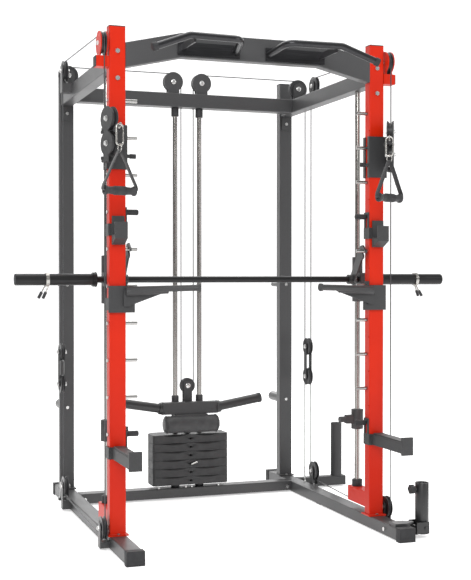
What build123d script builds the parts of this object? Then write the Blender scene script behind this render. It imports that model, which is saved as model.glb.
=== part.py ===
"""Power cage with a counterbalance-free smith bar, two adjustable pulley trolleys and one weight stack.

Millimetres, +Z up, +Y to the back, +X to the right as seen from the front. The origin is on the floor
under the middle of the cage.
"""
from build123d import *
import math
import os

# ---- cage ----
UP_X, UP_W, UP_D, WALL = 600.0, 70.0, 50.0, 3.0      # upright centre from the middle, section, wall
FRONT_Y, REAR_Y = -475.0, 620.0                      # upright centre lines
UP_TOP = 2185.0
TUBE_R = 4.0                                         # outer corner radius of the square tubes
RAIL_W, RAIL_H, RAIL_Z0, RAIL_END = 70.0, 54.0, 3.0, 797.0
CAP_T, CAP_DEPTH, CAP_SLIP = 3.0, 35.0, 0.3
FLANGE_T, FLANGE_W, FLANGE_D = 6.0, 86.0, 80.0
BEAM_D, BASE_BEAM_H, BASE_BEAM_Z0 = 70.0, 50.0, 8.0
TOP_W, TOP_H, TOP_Z1 = 60.0, 70.0, UP_TOP - 105      # top side rails and rear top beam
# ---- pull-up beam and bars ----
BEAM_H, BEAM_LIFT, BEAM_BEND_X, BEAM_END_Z = 104.0, 57.0, UP_X - 281, UP_TOP - 115
GRIP_R = 15.0
# ---- catch pegs ----
PEG_R, PEG_LEN, PEG_TOP, PEG_PITCH, PEG_COUNT = 8.0, 55.0, 1880.0, 155.6, 10
HOLE_Y, HOLE_R, BOLT_R, BOLT_HOLE, COVER_R = -493.0, 4.2, 5.0, 5.2, 12.0
# ---- guide rods ----
ROD_R, FIT = 12.5, 0.05
COLLAR_R, COLLAR_LEN = ROD_R + 6.5, 45.0
SMITH_ROD_Y, STACK_Y, STACK_ROD_X = -300.0, 470.0, 65.0
STUB_Z0, STUB_H, STUB_BACK, BUMPER_H, BUMPER_R = 88.0, 70.0, -262.0, 32.0, ROD_R + 11.5
# ---- cable run ----
CABLE_X, CABLE_R, CABLE_GAP, CABLE_HOLE = UP_X + 60, 2.5, 0.3, 8.0
GROOVE_R, PULLEY_LIP, PULLEY_T = 43.0, 6.0, 20.0     # cable centre line radius, rim above it, thickness
AXLE_R, SIDE_GAP, PLATE_T = 5.0, 2.0, 4.0
FRONT_PULLEY_Y, TOP_PULLEY_Z, LOW_PULLEY_Z = -478.0, UP_TOP - 70, GROOVE_R + 47
REAR_PULLEY_Z, LOW_REAR_Z = TOP_Z1 + GROOVE_R + 17, GROOVE_R + 77
BLOCK_GROOVE, BLOCK_TOP_Z, BLOCK_LOW_Z = 40.0, 770.0, 612.0
STACK_GROOVE, STACK_PULLEY_Z = 33.0, 580.0
CENTRE_X = STACK_GROOVE + GROOVE_R
CORNER_X = CABLE_X - GROOVE_R
BLOCK_Y = STACK_Y - BLOCK_GROOVE
REAR_PULLEY_Y = STACK_Y - 2 * BLOCK_GROOVE - GROOVE_R
AXIS_Y = FRONT_PULLEY_Y - GROOVE_R                   # front vertical cable line, the swivel axis
# ---- smith bar ----
BAR_Y, BAR_DROP, BAR_R = -360.0, 127.6, 14.0
BAR_Z = PEG_TOP - 4 * PEG_PITCH - BAR_DROP           # hooked on the fifth peg
SLEEVE_R, SLEEVE_X0, SLEEVE_X1, RING_R, RING_T = 25.0, UP_X + 76, UP_X + 405, 31.0, 16.0
HOUSING_R, HOUSING_H = ROD_R + 11.5, 208.0
HOOK_X, HOOK_T = UP_X - 59, 8.0
CLIP_X = SLEEVE_X0 + 195
# ---- weight stack ----
PLATE_W, PLATE_D, PLATE_H, PLATE_PITCH, STACK_Z0 = 400.0, 132.0, 42.5, 43.0, 78.0
PLATES, UPPER = 6, 4
FRONT_CUT, REAR_CUT, SCOOP_HALF, SCOOP_DEPTH = 11.0, 30.0, 74.0, 7.0                   # finger scoops in each plate's upper front edge
STEM_R, STEM_HOLE, ROD_HOLE, PIN_R, PIN_HOLE = 15.0, 17.0, ROD_R + 1.5, 5.0, 5.5
CARRIER_Z0, CARRIER_H, CARRIER_Y0, CARRIER_Y1, CARRIER_X = 440.0, 60.0, 402.0, 452.0, 141.0
HORN_R, HORN_LEN, HORN_TILT, HORN_STOP = 24.0, 240.0, 9.5, 14.0
PAD_R, PAD_HALF, PAD_Y, PAD_Z = 46.0, 148.0, 400.0, 390.0
# ---- trolleys, pulley arms and handles ----
SLEEVE_GAP, SLEEVE_T, HEAD_GAP = 1.0, 5.0, 8.0
LOCK_Z = PEG_TOP - 1.5 * PEG_PITCH                   # the hole that holds the trolley
TROLLEY_Z0, TROLLEY_Z1, SLOT_HALF = LOCK_Z - 56.6, LOCK_Z + 128.4, 11.0
EXIT_Z, BALL_F, BALL_R = LOCK_Z + 93.4, GROOVE_R + 65, 15.0
ARM_TOP_Z, ARM_LOW_Z, ARM_PULLEY_LIP = EXIT_Z + GROOVE_R + 8, EXIT_Z - GROOVE_R - 8, 4.0
LEFT_TURN, RIGHT_TURN = 15.0, 30.0
LINK_Z, LINK_T, LINK_R, BUSH_R, BUSH_BORE = (EXIT_Z - 7, ARM_LOW_Z - GROOVE_R - 20), 12.0, 16.0, 6.0, 3.3
CLIP_W, CLIP_H, CLIP_WIRE = 38.0, 92.0, 4.0
GRIP_Z, GRIP_LEN, HAND_R, STRAP_W, STRAP_T = EXIT_Z - 250, 126.0, 17.0, 25.0, 3.0
# ---- hung accessories ----
COLLAR_H, COLLAR_DROP, SLOT_LEN, PEG_GAP = 50.0, 50.0, 49.0, 0.6
J_PEG, DIP_PEG, SPOTTER_PEG = 3, 5, 9
STOP_Z, STOP_H, STOP_R = 428.0, 92.0, ROD_R + 15.5
# ---- landmine and bar post ----
LM_Y, LM_PIN_X, LM_X, LM_Z = -715.0, UP_X + 52, UP_X + 115, 44.0
LM_R, LM_BORE, LM_BOTTOM, LM_TOP = 30.0, 26.0, 15.0, 239.0
YOKE_X, YOKE_HALF = LM_X - 43.5, LM_R + 9            # the yoke stays clear of the tube's foot as it tilts
POST_X, POST_Y, POST_R, POST_BORE, POST_TOP = UP_X + 262, 510.0, 30.0, 26.5, 345.0
STORE_LEN, STORE_Z, HANG_R, HANG_Z = 150.0, 475.0, 12.5, 1100.0

SIDES = (-1, 1)
UP_IN, UP_OUT = UP_X - UP_W / 2, UP_X + UP_W / 2
FRONT_FACE, FRONT_BACK = FRONT_Y - UP_D / 2, FRONT_Y + UP_D / 2
REAR_FACE, REAR_BACK = REAR_Y - UP_D / 2, REAR_Y + UP_D / 2
RAIL_TOP = RAIL_Z0 + RAIL_H
TOP_Z0 = TOP_Z1 - TOP_H


def block(x0, x1, y0, y1, z0, z1):
    """A box from its six faces."""
    return Pos((x0 + x1) / 2, (y0 + y1) / 2, (z0 + z1) / 2) * Box(abs(x1 - x0), abs(y1 - y0), abs(z1 - z0))


def rod(p, q, r):
    """A round bar between two points."""
    d = Vector(*q) - Vector(*p)
    return Plane(origin=p, z_dir=d) * Cylinder(r, d.length, align=(Align.CENTER, Align.CENTER, Align.MIN))


def pipe(p, q, ro, ri):
    """A round tube between two points."""
    return rod(p, q, ro) - rod(p, q, ri)


def flip(shape):
    """The same piece on the left."""
    return mirror(shape, about=Plane.YZ)


def both(shape):
    """The right piece and its mirror image."""
    return [shape, flip(shape)]


def hex_head(p, d, r=8.5, t=6.0):
    """A hexagon head standing on point p and facing d."""
    return extrude(Plane(origin=p, z_dir=d) * RegularPolygon(r, 6), t)


def prism_x(points, x0, x1):
    """A plate between x0 and x1 with its outline given as (y, z)."""
    face = Plane.YZ * make_face(Polyline(*points, close=True))
    return Pos(x0, 0, 0) * extrude(face, x1 - x0)


def prism_y(points, y0, y1):
    """A plate between y0 and y1 with its outline given as (x, z)."""
    face = Plane(origin=(0, y0, 0), x_dir=(1, 0, 0), z_dir=(0, -1, 0)) * make_face(Polyline(*points, close=True))
    return extrude(face, -(y1 - y0))


def prism_z(points, z0, z1):
    """A plate between z0 and z1 with its outline given as (x, y)."""
    return extrude(Plane.XY.offset(z0) * make_face(Polyline(*points, close=True)), z1 - z0)


def sweep_round(edges, r):
    """A round wire along joined edges."""
    path = Wire(edges)
    return sweep(Plane(origin=path @ 0, z_dir=path % 0) * Circle(r), path=path)


def pulley(centre, axis, groove=GROOVE_R, lip=PULLEY_LIP, t=PULLEY_T):
    """A grooved wheel; the cable's centre line lies at the groove radius."""
    bed, rim, half = groove - CABLE_R - CABLE_GAP, groove + lip, t / 2
    bore = AXLE_R + FIT
    pts = [(bore, -half), (rim, -half), (rim, -6.5), (bed, -3.2), (bed, 3.2), (rim, 6.5), (rim, half), (bore, half)]
    wheel = revolve(Plane.XZ * make_face(Polyline(*pts, close=True)), axis=Axis.Z)
    web = groove - 11
    ring = Cylinder(web, half) - Cylinder(AXLE_R + 9, half)
    wheel -= Pos(0, 0, half - 2 + half / 2) * ring
    wheel -= Pos(0, 0, -(half - 2 + half / 2)) * ring
    turn = Rot(0, 90, 0) if axis == "x" else Rot(90, 0, 0)
    return Pos(*centre) * turn * wheel


def cheeks(centre, axis, r, foot=None):
    """Two side discs with an axle through them; foot is a box (x0, x1, y0, y1, z0, z1) joining them below."""
    cx, cy, cz = centre
    inner = PULLEY_T / 2 + SIDE_GAP
    outer = inner + PLATE_T
    unit = (1, 0, 0) if axis == "x" else (0, 1, 0)

    def at(k):
        return (cx + k * unit[0], cy + k * unit[1], cz)
    body = rod(at(-outer - 5), at(outer + 5), AXLE_R)
    for s in SIDES:
        body += rod(at(s * inner), at(s * outer), r)
        body += rod(at(s * outer), at(s * (outer + 5)), 9)
    if foot:
        x0, x1, y0, y1, z0, z1 = foot
        body += block(*foot)
        for s in SIDES:
            a, b = sorted((s * inner, s * outer))
            if axis == "x":
                body += block(cx + a, cx + b, y0, y1, min(z0, cz), max(z1, cz))
            else:
                body += block(x0, x1, cy + a, cy + b, min(z0, cz), max(z1, cz))
    return body


def peg_z(k):
    """Height of catch peg k, counted from the top."""
    return PEG_TOP - k * PEG_PITCH


def tube(x0, x1, y0, y1, z0, z1, along):
    """A hollow rectangular tube, open at both ends of its long axis."""
    w = WALL
    inner = {"x": (x0, x1, y0 + w, y1 - w, z0 + w, z1 - w), "y": (x0 + w, x1 - w, y0, y1, z0 + w, z1 - w),
             "z": (x0 + w, x1 - w, y0 + w, y1 - w, z0, z1)}[along]
    axis = {"x": Axis.X, "y": Axis.Y, "z": Axis.Z}[along]
    skin = block(x0, x1, y0, y1, z0, z1)
    core = block(*inner)
    skin = fillet(skin.edges().filter_by(axis), TUBE_R)
    return skin - fillet(core.edges().filter_by(axis), TUBE_R - w)


# ------------------------------------------------------------------ cage
def base_frame():
    rail = tube(UP_IN, UP_OUT, -RAIL_END, RAIL_END, RAIL_Z0, RAIL_TOP, "y")
    beam = tube(-UP_IN, UP_IN, STACK_Y - BEAM_D / 2, STACK_Y + BEAM_D / 2,
                BASE_BEAM_Z0, BASE_BEAM_Z0 + BASE_BEAM_H, "x")
    return both(rail) + [beam]


def upright(y):
    body = tube(UP_IN, UP_OUT, y - UP_D / 2, y + UP_D / 2, RAIL_TOP + FLANGE_T, UP_TOP, "z")
    body += block(UP_X - FLANGE_W / 2, UP_X + FLANGE_W / 2, y - FLANGE_D / 2, y + FLANGE_D / 2,
                  RAIL_TOP, RAIL_TOP + FLANGE_T)
    return body


def front_uprights():
    body = upright(FRONT_Y)
    cuts = [rod((UP_IN - 1, FRONT_Y, peg_z(k)), (UP_OUT + 1, FRONT_Y, peg_z(k)), BOLT_HOLE)
            for k in range(PEG_COUNT)]
    cuts += [rod((UP_IN - 1, HOLE_Y, peg_z(k) - PEG_PITCH / 2),
                 (UP_IN + WALL + 1, HOLE_Y, peg_z(k) - PEG_PITCH / 2),
                 HOLE_R) for k in range(PEG_COUNT - 1)]
    return both(body - cuts)


def rear_uprights():
    body = upright(REAR_Y)
    cuts = [rod((UP_X, REAR_FACE - 1, z), (UP_X, REAR_BACK + 1, z), BOLT_HOLE) for z in (STORE_Z, HANG_Z)]
    return both(body - cuts)


def top_frame():
    side = tube(UP_X - TOP_W / 2, UP_X + TOP_W / 2, FRONT_BACK, REAR_FACE, TOP_Z0, TOP_Z1, "y")
    beam = tube(-(UP_X - TOP_W / 2), UP_X - TOP_W / 2, STACK_Y - BEAM_D / 2, STACK_Y + BEAM_D / 2,
                TOP_Z0, TOP_Z1, "x")
    for s in SIDES:
        beam -= rod((s * STACK_GROOVE, STACK_Y, TOP_Z0 - 1), (s * STACK_GROOVE, STACK_Y, TOP_Z1 + 1), CABLE_HOLE)
    return both(side) + [beam]


def pull_up_beam():
    h, b = BEAM_H / 2, BEAM_BEND_X
    line = [(-UP_IN, BEAM_END_Z), (-b, BEAM_END_Z + BEAM_LIFT), (b, BEAM_END_Z + BEAM_LIFT), (UP_IN, BEAM_END_Z)]
    outer = [(x, z + h) for x, z in line] + [(x, z - h) for x, z in reversed(line)]
    inner = [(x, z + h - WALL) for x, z in line] + [(x, z - h + WALL) for x, z in reversed(line)]
    body = prism_y(outer, FRONT_FACE, FRONT_BACK)
    body = fillet([e for e in body.edges() if abs((e % 0.5).X) > 0.5], TUBE_R)
    return [body - prism_y(inner, FRONT_FACE + WALL, FRONT_BACK - WALL)]


def pull_up_bars():
    mid = BEAM_END_Z + BEAM_LIFT
    pts = [Vector(76, FRONT_FACE, mid - 17), Vector(104, FRONT_FACE - 152, mid + 8),
           Vector(UP_X - 259, FRONT_FACE - 190, mid + 2), Vector(UP_X - 102, FRONT_FACE - 211, mid - 60)]
    path = FilletPolyline(*pts, radius=50)
    bar = sweep(Plane(origin=path @ 0, z_dir=path % 0) * Circle(GRIP_R), path=path)
    end = rod(pts[3], pts[3] + (pts[3] - pts[2]).normalized() * 6, GRIP_R + 2)
    out = bar + end - block(0, UP_IN, FRONT_FACE, FRONT_BACK, mid - 60, mid + 60)
    for x, y in ((130, -178.0), (UP_X - 282, -186.0)):
        web = block(x - 4, x + 4, FRONT_FACE + y, FRONT_FACE, mid - 24, mid + 3)
        out += web
    plates = block(60, UP_X - 260, FRONT_FACE - 5, FRONT_FACE, mid - 45, mid + 12)
    return both(out + plates)


def guide_rods():
    smith = rod((UP_X, SMITH_ROD_Y, STUB_Z0 + 30), (UP_X, SMITH_ROD_Y, TOP_Z0), ROD_R)
    stack = rod((STACK_ROD_X, STACK_Y, BASE_BEAM_Z0 + BASE_BEAM_H), (STACK_ROD_X, STACK_Y, TOP_Z0), ROD_R)
    return both(smith) + both(stack)


def frame_brackets():
    ties = [block(UP_X - 26, UP_X + 26, FRONT_BACK, FRONT_BACK + 6, TOP_Z0 - 75, TOP_Z0),
            block(UP_X - 26, UP_X + 26, REAR_FACE - 6, REAR_FACE, TOP_Z0 - 75, TOP_Z0)]
    for z in (TOP_Z0 - 40,):
        ties[0] -= rod((UP_X, FRONT_BACK - 1, z), (UP_X, FRONT_BACK + 7, z), BOLT_HOLE)
        ties[1] -= rod((UP_X, REAR_FACE - 7, z), (UP_X, REAR_FACE + 1, z), BOLT_HOLE)
    rr = GROOVE_R + PULLEY_LIP + 1
    low_front = cheeks((CABLE_X, FRONT_PULLEY_Y, LOW_PULLEY_Z), "x", 24,
                       (UP_OUT, CABLE_X + 16, FRONT_PULLEY_Y - 20, FRONT_PULLEY_Y + 20, 8, 34))
    low_rear = cheeks((CABLE_X, REAR_PULLEY_Y, LOW_REAR_Z), "x", 24,
                      (UP_OUT, CABLE_X + 16, REAR_PULLEY_Y - 20, REAR_PULLEY_Y + 20, 10, 50))
    yz = cheeks((CABLE_X, REAR_PULLEY_Y, REAR_PULLEY_Z), "x", 30,
                (UP_X + TOP_W / 2, CABLE_X + 16, REAR_PULLEY_Y - 25, REAR_PULLEY_Y + 25, TOP_Z1 - 45, TOP_Z1))
    corner = cheeks((CORNER_X, STACK_Y, REAR_PULLEY_Z), "y", 30,
                    (CORNER_X - 30, UP_X + TOP_W / 2, STACK_Y - 16, STACK_Y + 16, TOP_Z1, TOP_Z1 + 8))
    centre = cheeks((CENTRE_X, STACK_Y, REAR_PULLEY_Z), "y", rr,
                    (CENTRE_X - 30, CENTRE_X + 30, STACK_Y - 16, STACK_Y + 16, TOP_Z1, TOP_Z1 + 8))
    anchor = block(UP_OUT, CABLE_X + 10, STACK_Y - 12, STACK_Y + 12, 30, 42)
    return sum((both(p) for p in ties + [low_front, low_rear, yz, corner, centre, anchor]), [])


def red_brackets():
    """The foot stubs of the smith rods and the brackets of the top front pulleys."""
    stub = block(UP_X - 30, UP_X + 30, FRONT_BACK, STUB_BACK, STUB_Z0, STUB_Z0 + STUB_H)
    stub = fillet(stub.edges().filter_by(Axis.Y), TUBE_R)
    stub -= rod((UP_X, SMITH_ROD_Y, STUB_Z0 + 30), (UP_X, SMITH_ROD_Y, STUB_Z0 + STUB_H + 1), ROD_R + FIT)
    z0 = TOP_PULLEY_Z - GROOVE_R - 57
    box = (UP_OUT, CABLE_X + 30, FRONT_Y - 28, FRONT_Y + 22, z0, z0 + 45)
    r = GROOVE_R + PULLEY_LIP + 1
    body = cheeks((CABLE_X, FRONT_PULLEY_Y, TOP_PULLEY_Z), "x", r)
    body += block(*box)
    for s in SIDES:
        a, b = sorted((s * (PULLEY_T / 2 + SIDE_GAP), s * (PULLEY_T / 2 + SIDE_GAP + PLATE_T)))
        body += block(CABLE_X + a, CABLE_X + b, box[2], box[3], z0 + 35, TOP_PULLEY_Z)
    return both(body) + both(stub)


def catch_pegs():
    peg = rod((UP_IN - PEG_LEN, FRONT_Y, 0), (UP_IN, FRONT_Y, 0), PEG_R)
    peg = chamfer(peg.edges().sort_by(Axis.X)[0], 1.5)
    return [q for k in range(PEG_COUNT) for q in both(Pos(0, 0, peg_z(k)) * peg)]


def rubber_parts():
    w, h = RAIL_W / 2 + CAP_T, RAIL_TOP + CAP_T
    cap = block(UP_X - w, UP_X + w, -RAIL_END - CAP_T, -RAIL_END - CAP_T + CAP_DEPTH, 0, h)
    cap -= block(UP_IN - CAP_SLIP, UP_OUT + CAP_SLIP, -RAIL_END, 0, RAIL_Z0 - CAP_SLIP, RAIL_TOP + CAP_SLIP)
    cap = fillet(cap.edges().filter_by(Axis.Y).group_by(Axis.Z)[-1].sort_by(Axis.X)[0::3], 3)
    back = mirror(cap, about=Plane.XZ)
    bumper = pipe((UP_X, SMITH_ROD_Y, STUB_Z0 + STUB_H), (UP_X, SMITH_ROD_Y, STUB_Z0 + STUB_H + BUMPER_H),
                  BUMPER_R, ROD_R + FIT)
    z = BASE_BEAM_Z0 + BASE_BEAM_H
    pad = pipe((STACK_ROD_X, STACK_Y, z), (STACK_ROD_X, STACK_Y, STACK_Z0), ROD_R + 9.5, ROD_R + FIT)
    tops = [block(UP_IN, UP_OUT, y - UP_D / 2, y + UP_D / 2, UP_TOP, UP_TOP + 4) for y in (FRONT_Y, REAR_Y)]
    tops = [fillet(t.edges().filter_by(Axis.Z), TUBE_R) for t in tops]
    tip = UP_IN - PEG_LEN
    cover = rod((tip - 4, FRONT_Y, 0), (UP_IN - 9, FRONT_Y, 0), COVER_R)
    cover = chamfer(cover.edges().sort_by(Axis.X)[0], 2)
    cover -= rod((tip, FRONT_Y, 0), (UP_IN, FRONT_Y, 0), PEG_R + FIT)
    covers = [Pos(0, 0, peg_z(k)) * cover for k in (J_PEG, SPOTTER_PEG)]
    end = block(POST_X + 43, POST_X + 46, POST_Y - 25, POST_Y + 25, 8, 58)
    end = fillet(end.edges().filter_by(Axis.X), TUBE_R)
    foot = block(UP_IN + 4, UP_OUT - 4, 60, 110, 0, RAIL_Z0)
    z0 = TOP_PULLEY_Z - GROOVE_R - 57
    box_cap = block(CABLE_X + 30, CABLE_X + 33, FRONT_Y - 27, FRONT_Y + 21, z0 + 1, z0 + 44)
    collar = pipe((STACK_ROD_X, STACK_Y, TOP_Z0 - COLLAR_LEN), (STACK_ROD_X, STACK_Y, TOP_Z0), COLLAR_R,
                  ROD_R + FIT)
    return sum((both(p) for p in [cap, back, bumper, pad, foot, box_cap, collar] + covers + tops), []) + [end]


def plate(i):
    """Weight plate i, counted from the bottom."""
    z0 = STACK_Z0 + i * PLATE_PITCH
    w, y0, y1 = PLATE_W / 2, STACK_Y - PLATE_D / 2, STACK_Y + PLATE_D / 2
    a, b = FRONT_CUT, REAR_CUT
    outline = [(-w, y0 + a), (-w + a, y0), (w - a, y0), (w, y0 + a), (w, y1 - b), (w - b, y1), (-w + b, y1),
               (-w, y1 - b)]
    body = prism_z(outline, z0, z0 + PLATE_H)
    ball_r = (SCOOP_HALF ** 2 + SCOOP_DEPTH ** 2) / (2 * SCOOP_DEPTH)
    off = (ball_r - SCOOP_DEPTH) * math.sqrt(0.5)
    for s in SIDES:
        body -= Pos(s * (SCOOP_HALF + 14), y0 - off, z0 + PLATE_H + off) * Sphere(ball_r)
    holes = [rod((s * STACK_ROD_X, STACK_Y, z0 - 1), (s * STACK_ROD_X, STACK_Y, z0 + PLATE_H + 1), ROD_HOLE)
             for s in SIDES]
    holes.append(rod((0, STACK_Y, z0 - 1), (0, STACK_Y, z0 + PLATE_H + 1), STEM_HOLE))
    zc = z0 + PLATE_H / 2
    holes.append(rod((0, y0 - 1, zc), (0, STACK_Y, zc), PIN_HOLE))
    return body - holes


def frame_bolts():
    out = []
    for k in range(PEG_COUNT):
        z = peg_z(k)
        stem = rod((UP_IN, FRONT_Y, z), (UP_OUT, FRONT_Y, z), BOLT_R)
        out.append(stem + hex_head((UP_OUT, FRONT_Y, z), (1, 0, 0)))
    z = TOP_Z0 - 40
    for z1 in (z, UP_TOP - 102):
        out.append(hex_head((UP_X, FRONT_FACE, z1), (0, -1, 0), 10.5, 7))
    out.append(hex_head((UP_X, FRONT_BACK + 6, z), (0, 1, 0)))
    out.append(hex_head((UP_X, REAR_FACE - 6, z), (0, -1, 0)))
    for zs in (STORE_Z, HANG_Z):
        out.append(rod((UP_X, REAR_FACE, zs), (UP_X, REAR_BACK, zs), BOLT_R)
                   + hex_head((UP_X, REAR_FACE, zs), (0, -1, 0)))
    for y in (FRONT_Y, REAR_Y):
        for s in SIDES:
            out.append(hex_head((UP_X + s * 0, y + s * (UP_D / 2 + 8), RAIL_TOP + FLANGE_T), (0, 0, 1), 7, 5))
    for x in (16.0, 160.0):
        out.append(hex_head((x, STACK_Y - 24, BASE_BEAM_Z0 + BASE_BEAM_H), (0, 0, 1)))
    for z1 in (BASE_BEAM_Z0 + 22,):
        out.append(hex_head((UP_IN - 22, STACK_Y - BEAM_D / 2, z1), (0, -1, 0), 9.5, 6))
        out.append(hex_head((UP_IN, LM_Y + 65, z1), (-1, 0, 0), 9.5, 6))
    eye = rod((CABLE_X, STACK_Y, 42), (CABLE_X, STACK_Y, LOW_REAR_Z), 4)
    out.append(eye + hex_head((CABLE_X, STACK_Y, 42), (0, 0, 1), 8, 7))
    return sum((both(p) for p in out), [])


def storage_pegs():
    big = rod((UP_X, REAR_BACK, STORE_Z), (UP_X, REAR_BACK + STORE_LEN, STORE_Z), SLEEVE_R)
    big = chamfer(big.edges().sort_by(Axis.Y)[-1], 3)
    thin = rod((UP_X, REAR_BACK, HANG_Z), (UP_X, REAR_BACK + STORE_LEN - 10, HANG_Z), HANG_R)
    return both(big) + both(thin)


def barbell_post():
    z0 = 8.0
    arm = tube(UP_OUT, POST_X + 43, POST_Y - 25, POST_Y + 25, z0, z0 + 50, "x")
    arm += block(UP_OUT, UP_OUT + 5, POST_Y - 27, POST_Y + 35, z0, z0 + 49)
    post = pipe((POST_X, POST_Y, z0 + 50), (POST_X, POST_Y, POST_TOP), POST_R, POST_BORE)
    return [arm, post]


# ------------------------------------------------------------------ cables
def fixed_cables():
    """The runs that keep their length: down the front, along the floor, along the top and across the back."""
    r = GROOVE_R

    def p(y, z):
        return Vector(CABLE_X, y, z)

    def run(c0, c1, side):
        d = (c1 - c0).normalized()
        n = Vector(0, -d.Z, d.Y) * side * r
        return c0 + n, c1 + n, n

    tf, yz = p(FRONT_PULLEY_Y, TOP_PULLEY_Z), p(REAR_PULLEY_Y, REAR_PULLEY_Z)
    lf, lr = p(FRONT_PULLEY_Y, LOW_PULLEY_Z), p(REAR_PULLEY_Y, LOW_REAR_Z)
    a, b, n1 = run(tf, yz, 1)
    c, d, n2 = run(lf, lr, -1)
    front, back = Vector(0, -r, 0), Vector(0, r, 0)

    def arc(centre, u, v):
        m = (u + v).normalized() * r
        return ThreePointArc(centre + u, centre + m, centre + v)

    edges = [arc(yz, back, n1), Line(b, a), arc(tf, n1, front), Line(tf + front, lf + front),
             arc(lf, front, n2), Line(c, d), arc(lr, n2, back)]
    side = sweep_round(edges, CABLE_R)
    z = REAR_PULLEY_Z

    def q(x, zz):
        return Vector(x, STACK_Y, zz)
    k = r * math.sqrt(0.5)
    edges = [ThreePointArc(q(CABLE_X, z), q(CORNER_X + k, z + k), q(CORNER_X, z + r)),
             Line(q(CORNER_X, z + r), q(CENTRE_X, z + r)),
             ThreePointArc(q(CENTRE_X, z + r), q(CENTRE_X - k, z + k), q(CENTRE_X - r, z))]
    top = sweep_round(edges, CABLE_R)
    return both(side) + both(top)


def strands(points):
    """Straight vertical strands, each (x, y, z0, z1) on the right, with mirror images."""
    return sum((both(rod((x, y, z0), (x, y, z1), CABLE_R)) for x, y, z0, z1 in points), [])


def half_wrap(centre, axis, r, up):
    """Half a turn of cable over or under a pulley."""
    c = Vector(*centre)
    u = Vector(0, 1, 0) if axis == "x" else Vector(1, 0, 0)
    edge = ThreePointArc(c - u * r, c + Vector(0, 0, r if up else -r), c + u * r)
    return sweep_round([edge], CABLE_R)


# ------------------------------------------------------------------ smith bar
def smith_carriages():
    z0, z1 = BAR_Z - HOUSING_H / 2, BAR_Z + HOUSING_H / 2
    body = rod((UP_X, SMITH_ROD_Y, z0), (UP_X, SMITH_ROD_Y, z1), HOUSING_R)
    body += block(UP_X - 24, UP_X + 24, BAR_Y - BAR_R - 12, SMITH_ROD_Y, BAR_Z - 30, BAR_Z + 30)
    body -= rod((UP_X, SMITH_ROD_Y, z0 - 1), (UP_X, SMITH_ROD_Y, z1 + 1), ROD_R + FIT)
    body -= rod((UP_X - 30, BAR_Y, BAR_Z), (UP_X + 30, BAR_Y, BAR_Z), BAR_R + FIT)
    return both(body)


def smith_bar():
    x = SLEEVE_X0 - RING_T
    return [rod((-x, BAR_Y, BAR_Z), (x, BAR_Y, BAR_Z), BAR_R)]


def bar_sleeves():
    body = rod((SLEEVE_X0, BAR_Y, BAR_Z), (SLEEVE_X1, BAR_Y, BAR_Z), SLEEVE_R)
    body = chamfer(body.edges().sort_by(Axis.X)[-1], 2)
    body += rod((SLEEVE_X0 - RING_T, BAR_Y, BAR_Z), (SLEEVE_X0, BAR_Y, BAR_Z), RING_R)
    return both(body)


def smith_hooks():
    """Plates clamped on the bar that reach up and forward over a peg; the slot opens down and forward."""
    peg = (FRONT_Y - BAR_Y, peg_z(4) - BAR_Z)
    reach = math.hypot(*peg)
    out = (-peg[1] / reach, peg[0] / reach)
    pts = [(24, 0), (-84, 150), (-112, 155), (-146, 130), (-143, 114), (-119, 114), (-119, 97), (-104, 89),
           (-22, -14), (0, -24), (18, -16)]
    body = prism_x([(BAR_Y + a, BAR_Z + b) for a, b in pts], HOOK_X, HOOK_X + HOOK_T)
    body += rod((HOOK_X - 18, BAR_Y, BAR_Z), (HOOK_X + HOOK_T + 10, BAR_Y, BAR_Z), BAR_R + 8)
    n = (-out[1], out[0])
    py, pz, w = FRONT_Y, peg_z(4), PEG_R + PEG_GAP

    def at(d, k):
        return (py + out[0] * d + n[0] * k, pz + out[1] * d + n[1] * k)
    slot = prism_x([at(0, -w), at(60, -w - 8), at(60, w + 8), at(0, w)], HOOK_X - 1, HOOK_X + HOOK_T + 1)
    slot += rod((HOOK_X - 1, py, pz), (HOOK_X + HOOK_T + 1, py, pz), w)
    body -= slot
    body -= rod((HOOK_X - 20, BAR_Y, BAR_Z), (HOOK_X + HOOK_T + 12, BAR_Y, BAR_Z), BAR_R)
    return both(body)


def spring_collars():
    x = CLIP_X
    ring = pipe((x - 7, BAR_Y, BAR_Z), (x + 7, BAR_Y, BAR_Z), SLEEVE_R + 6, SLEEVE_R + 0.2)
    for dy, dx in ((-14.0, -5.0), (14.0, 5.0)):
        p = (x + dx, BAR_Y + dy, BAR_Z - SLEEVE_R + 1)
        q = (x + dx + 26, BAR_Y + dy * 1.9, BAR_Z - SLEEVE_R - 52)
        ring += rod(p, q, 3) - rod((x - 12, BAR_Y, BAR_Z), (x + 12, BAR_Y, BAR_Z), SLEEVE_R + 0.2)
        ring += rod(tuple(a + (b - a) * 0.55 for a, b in zip(p, q)), q, 6)
    return both(ring)


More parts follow.
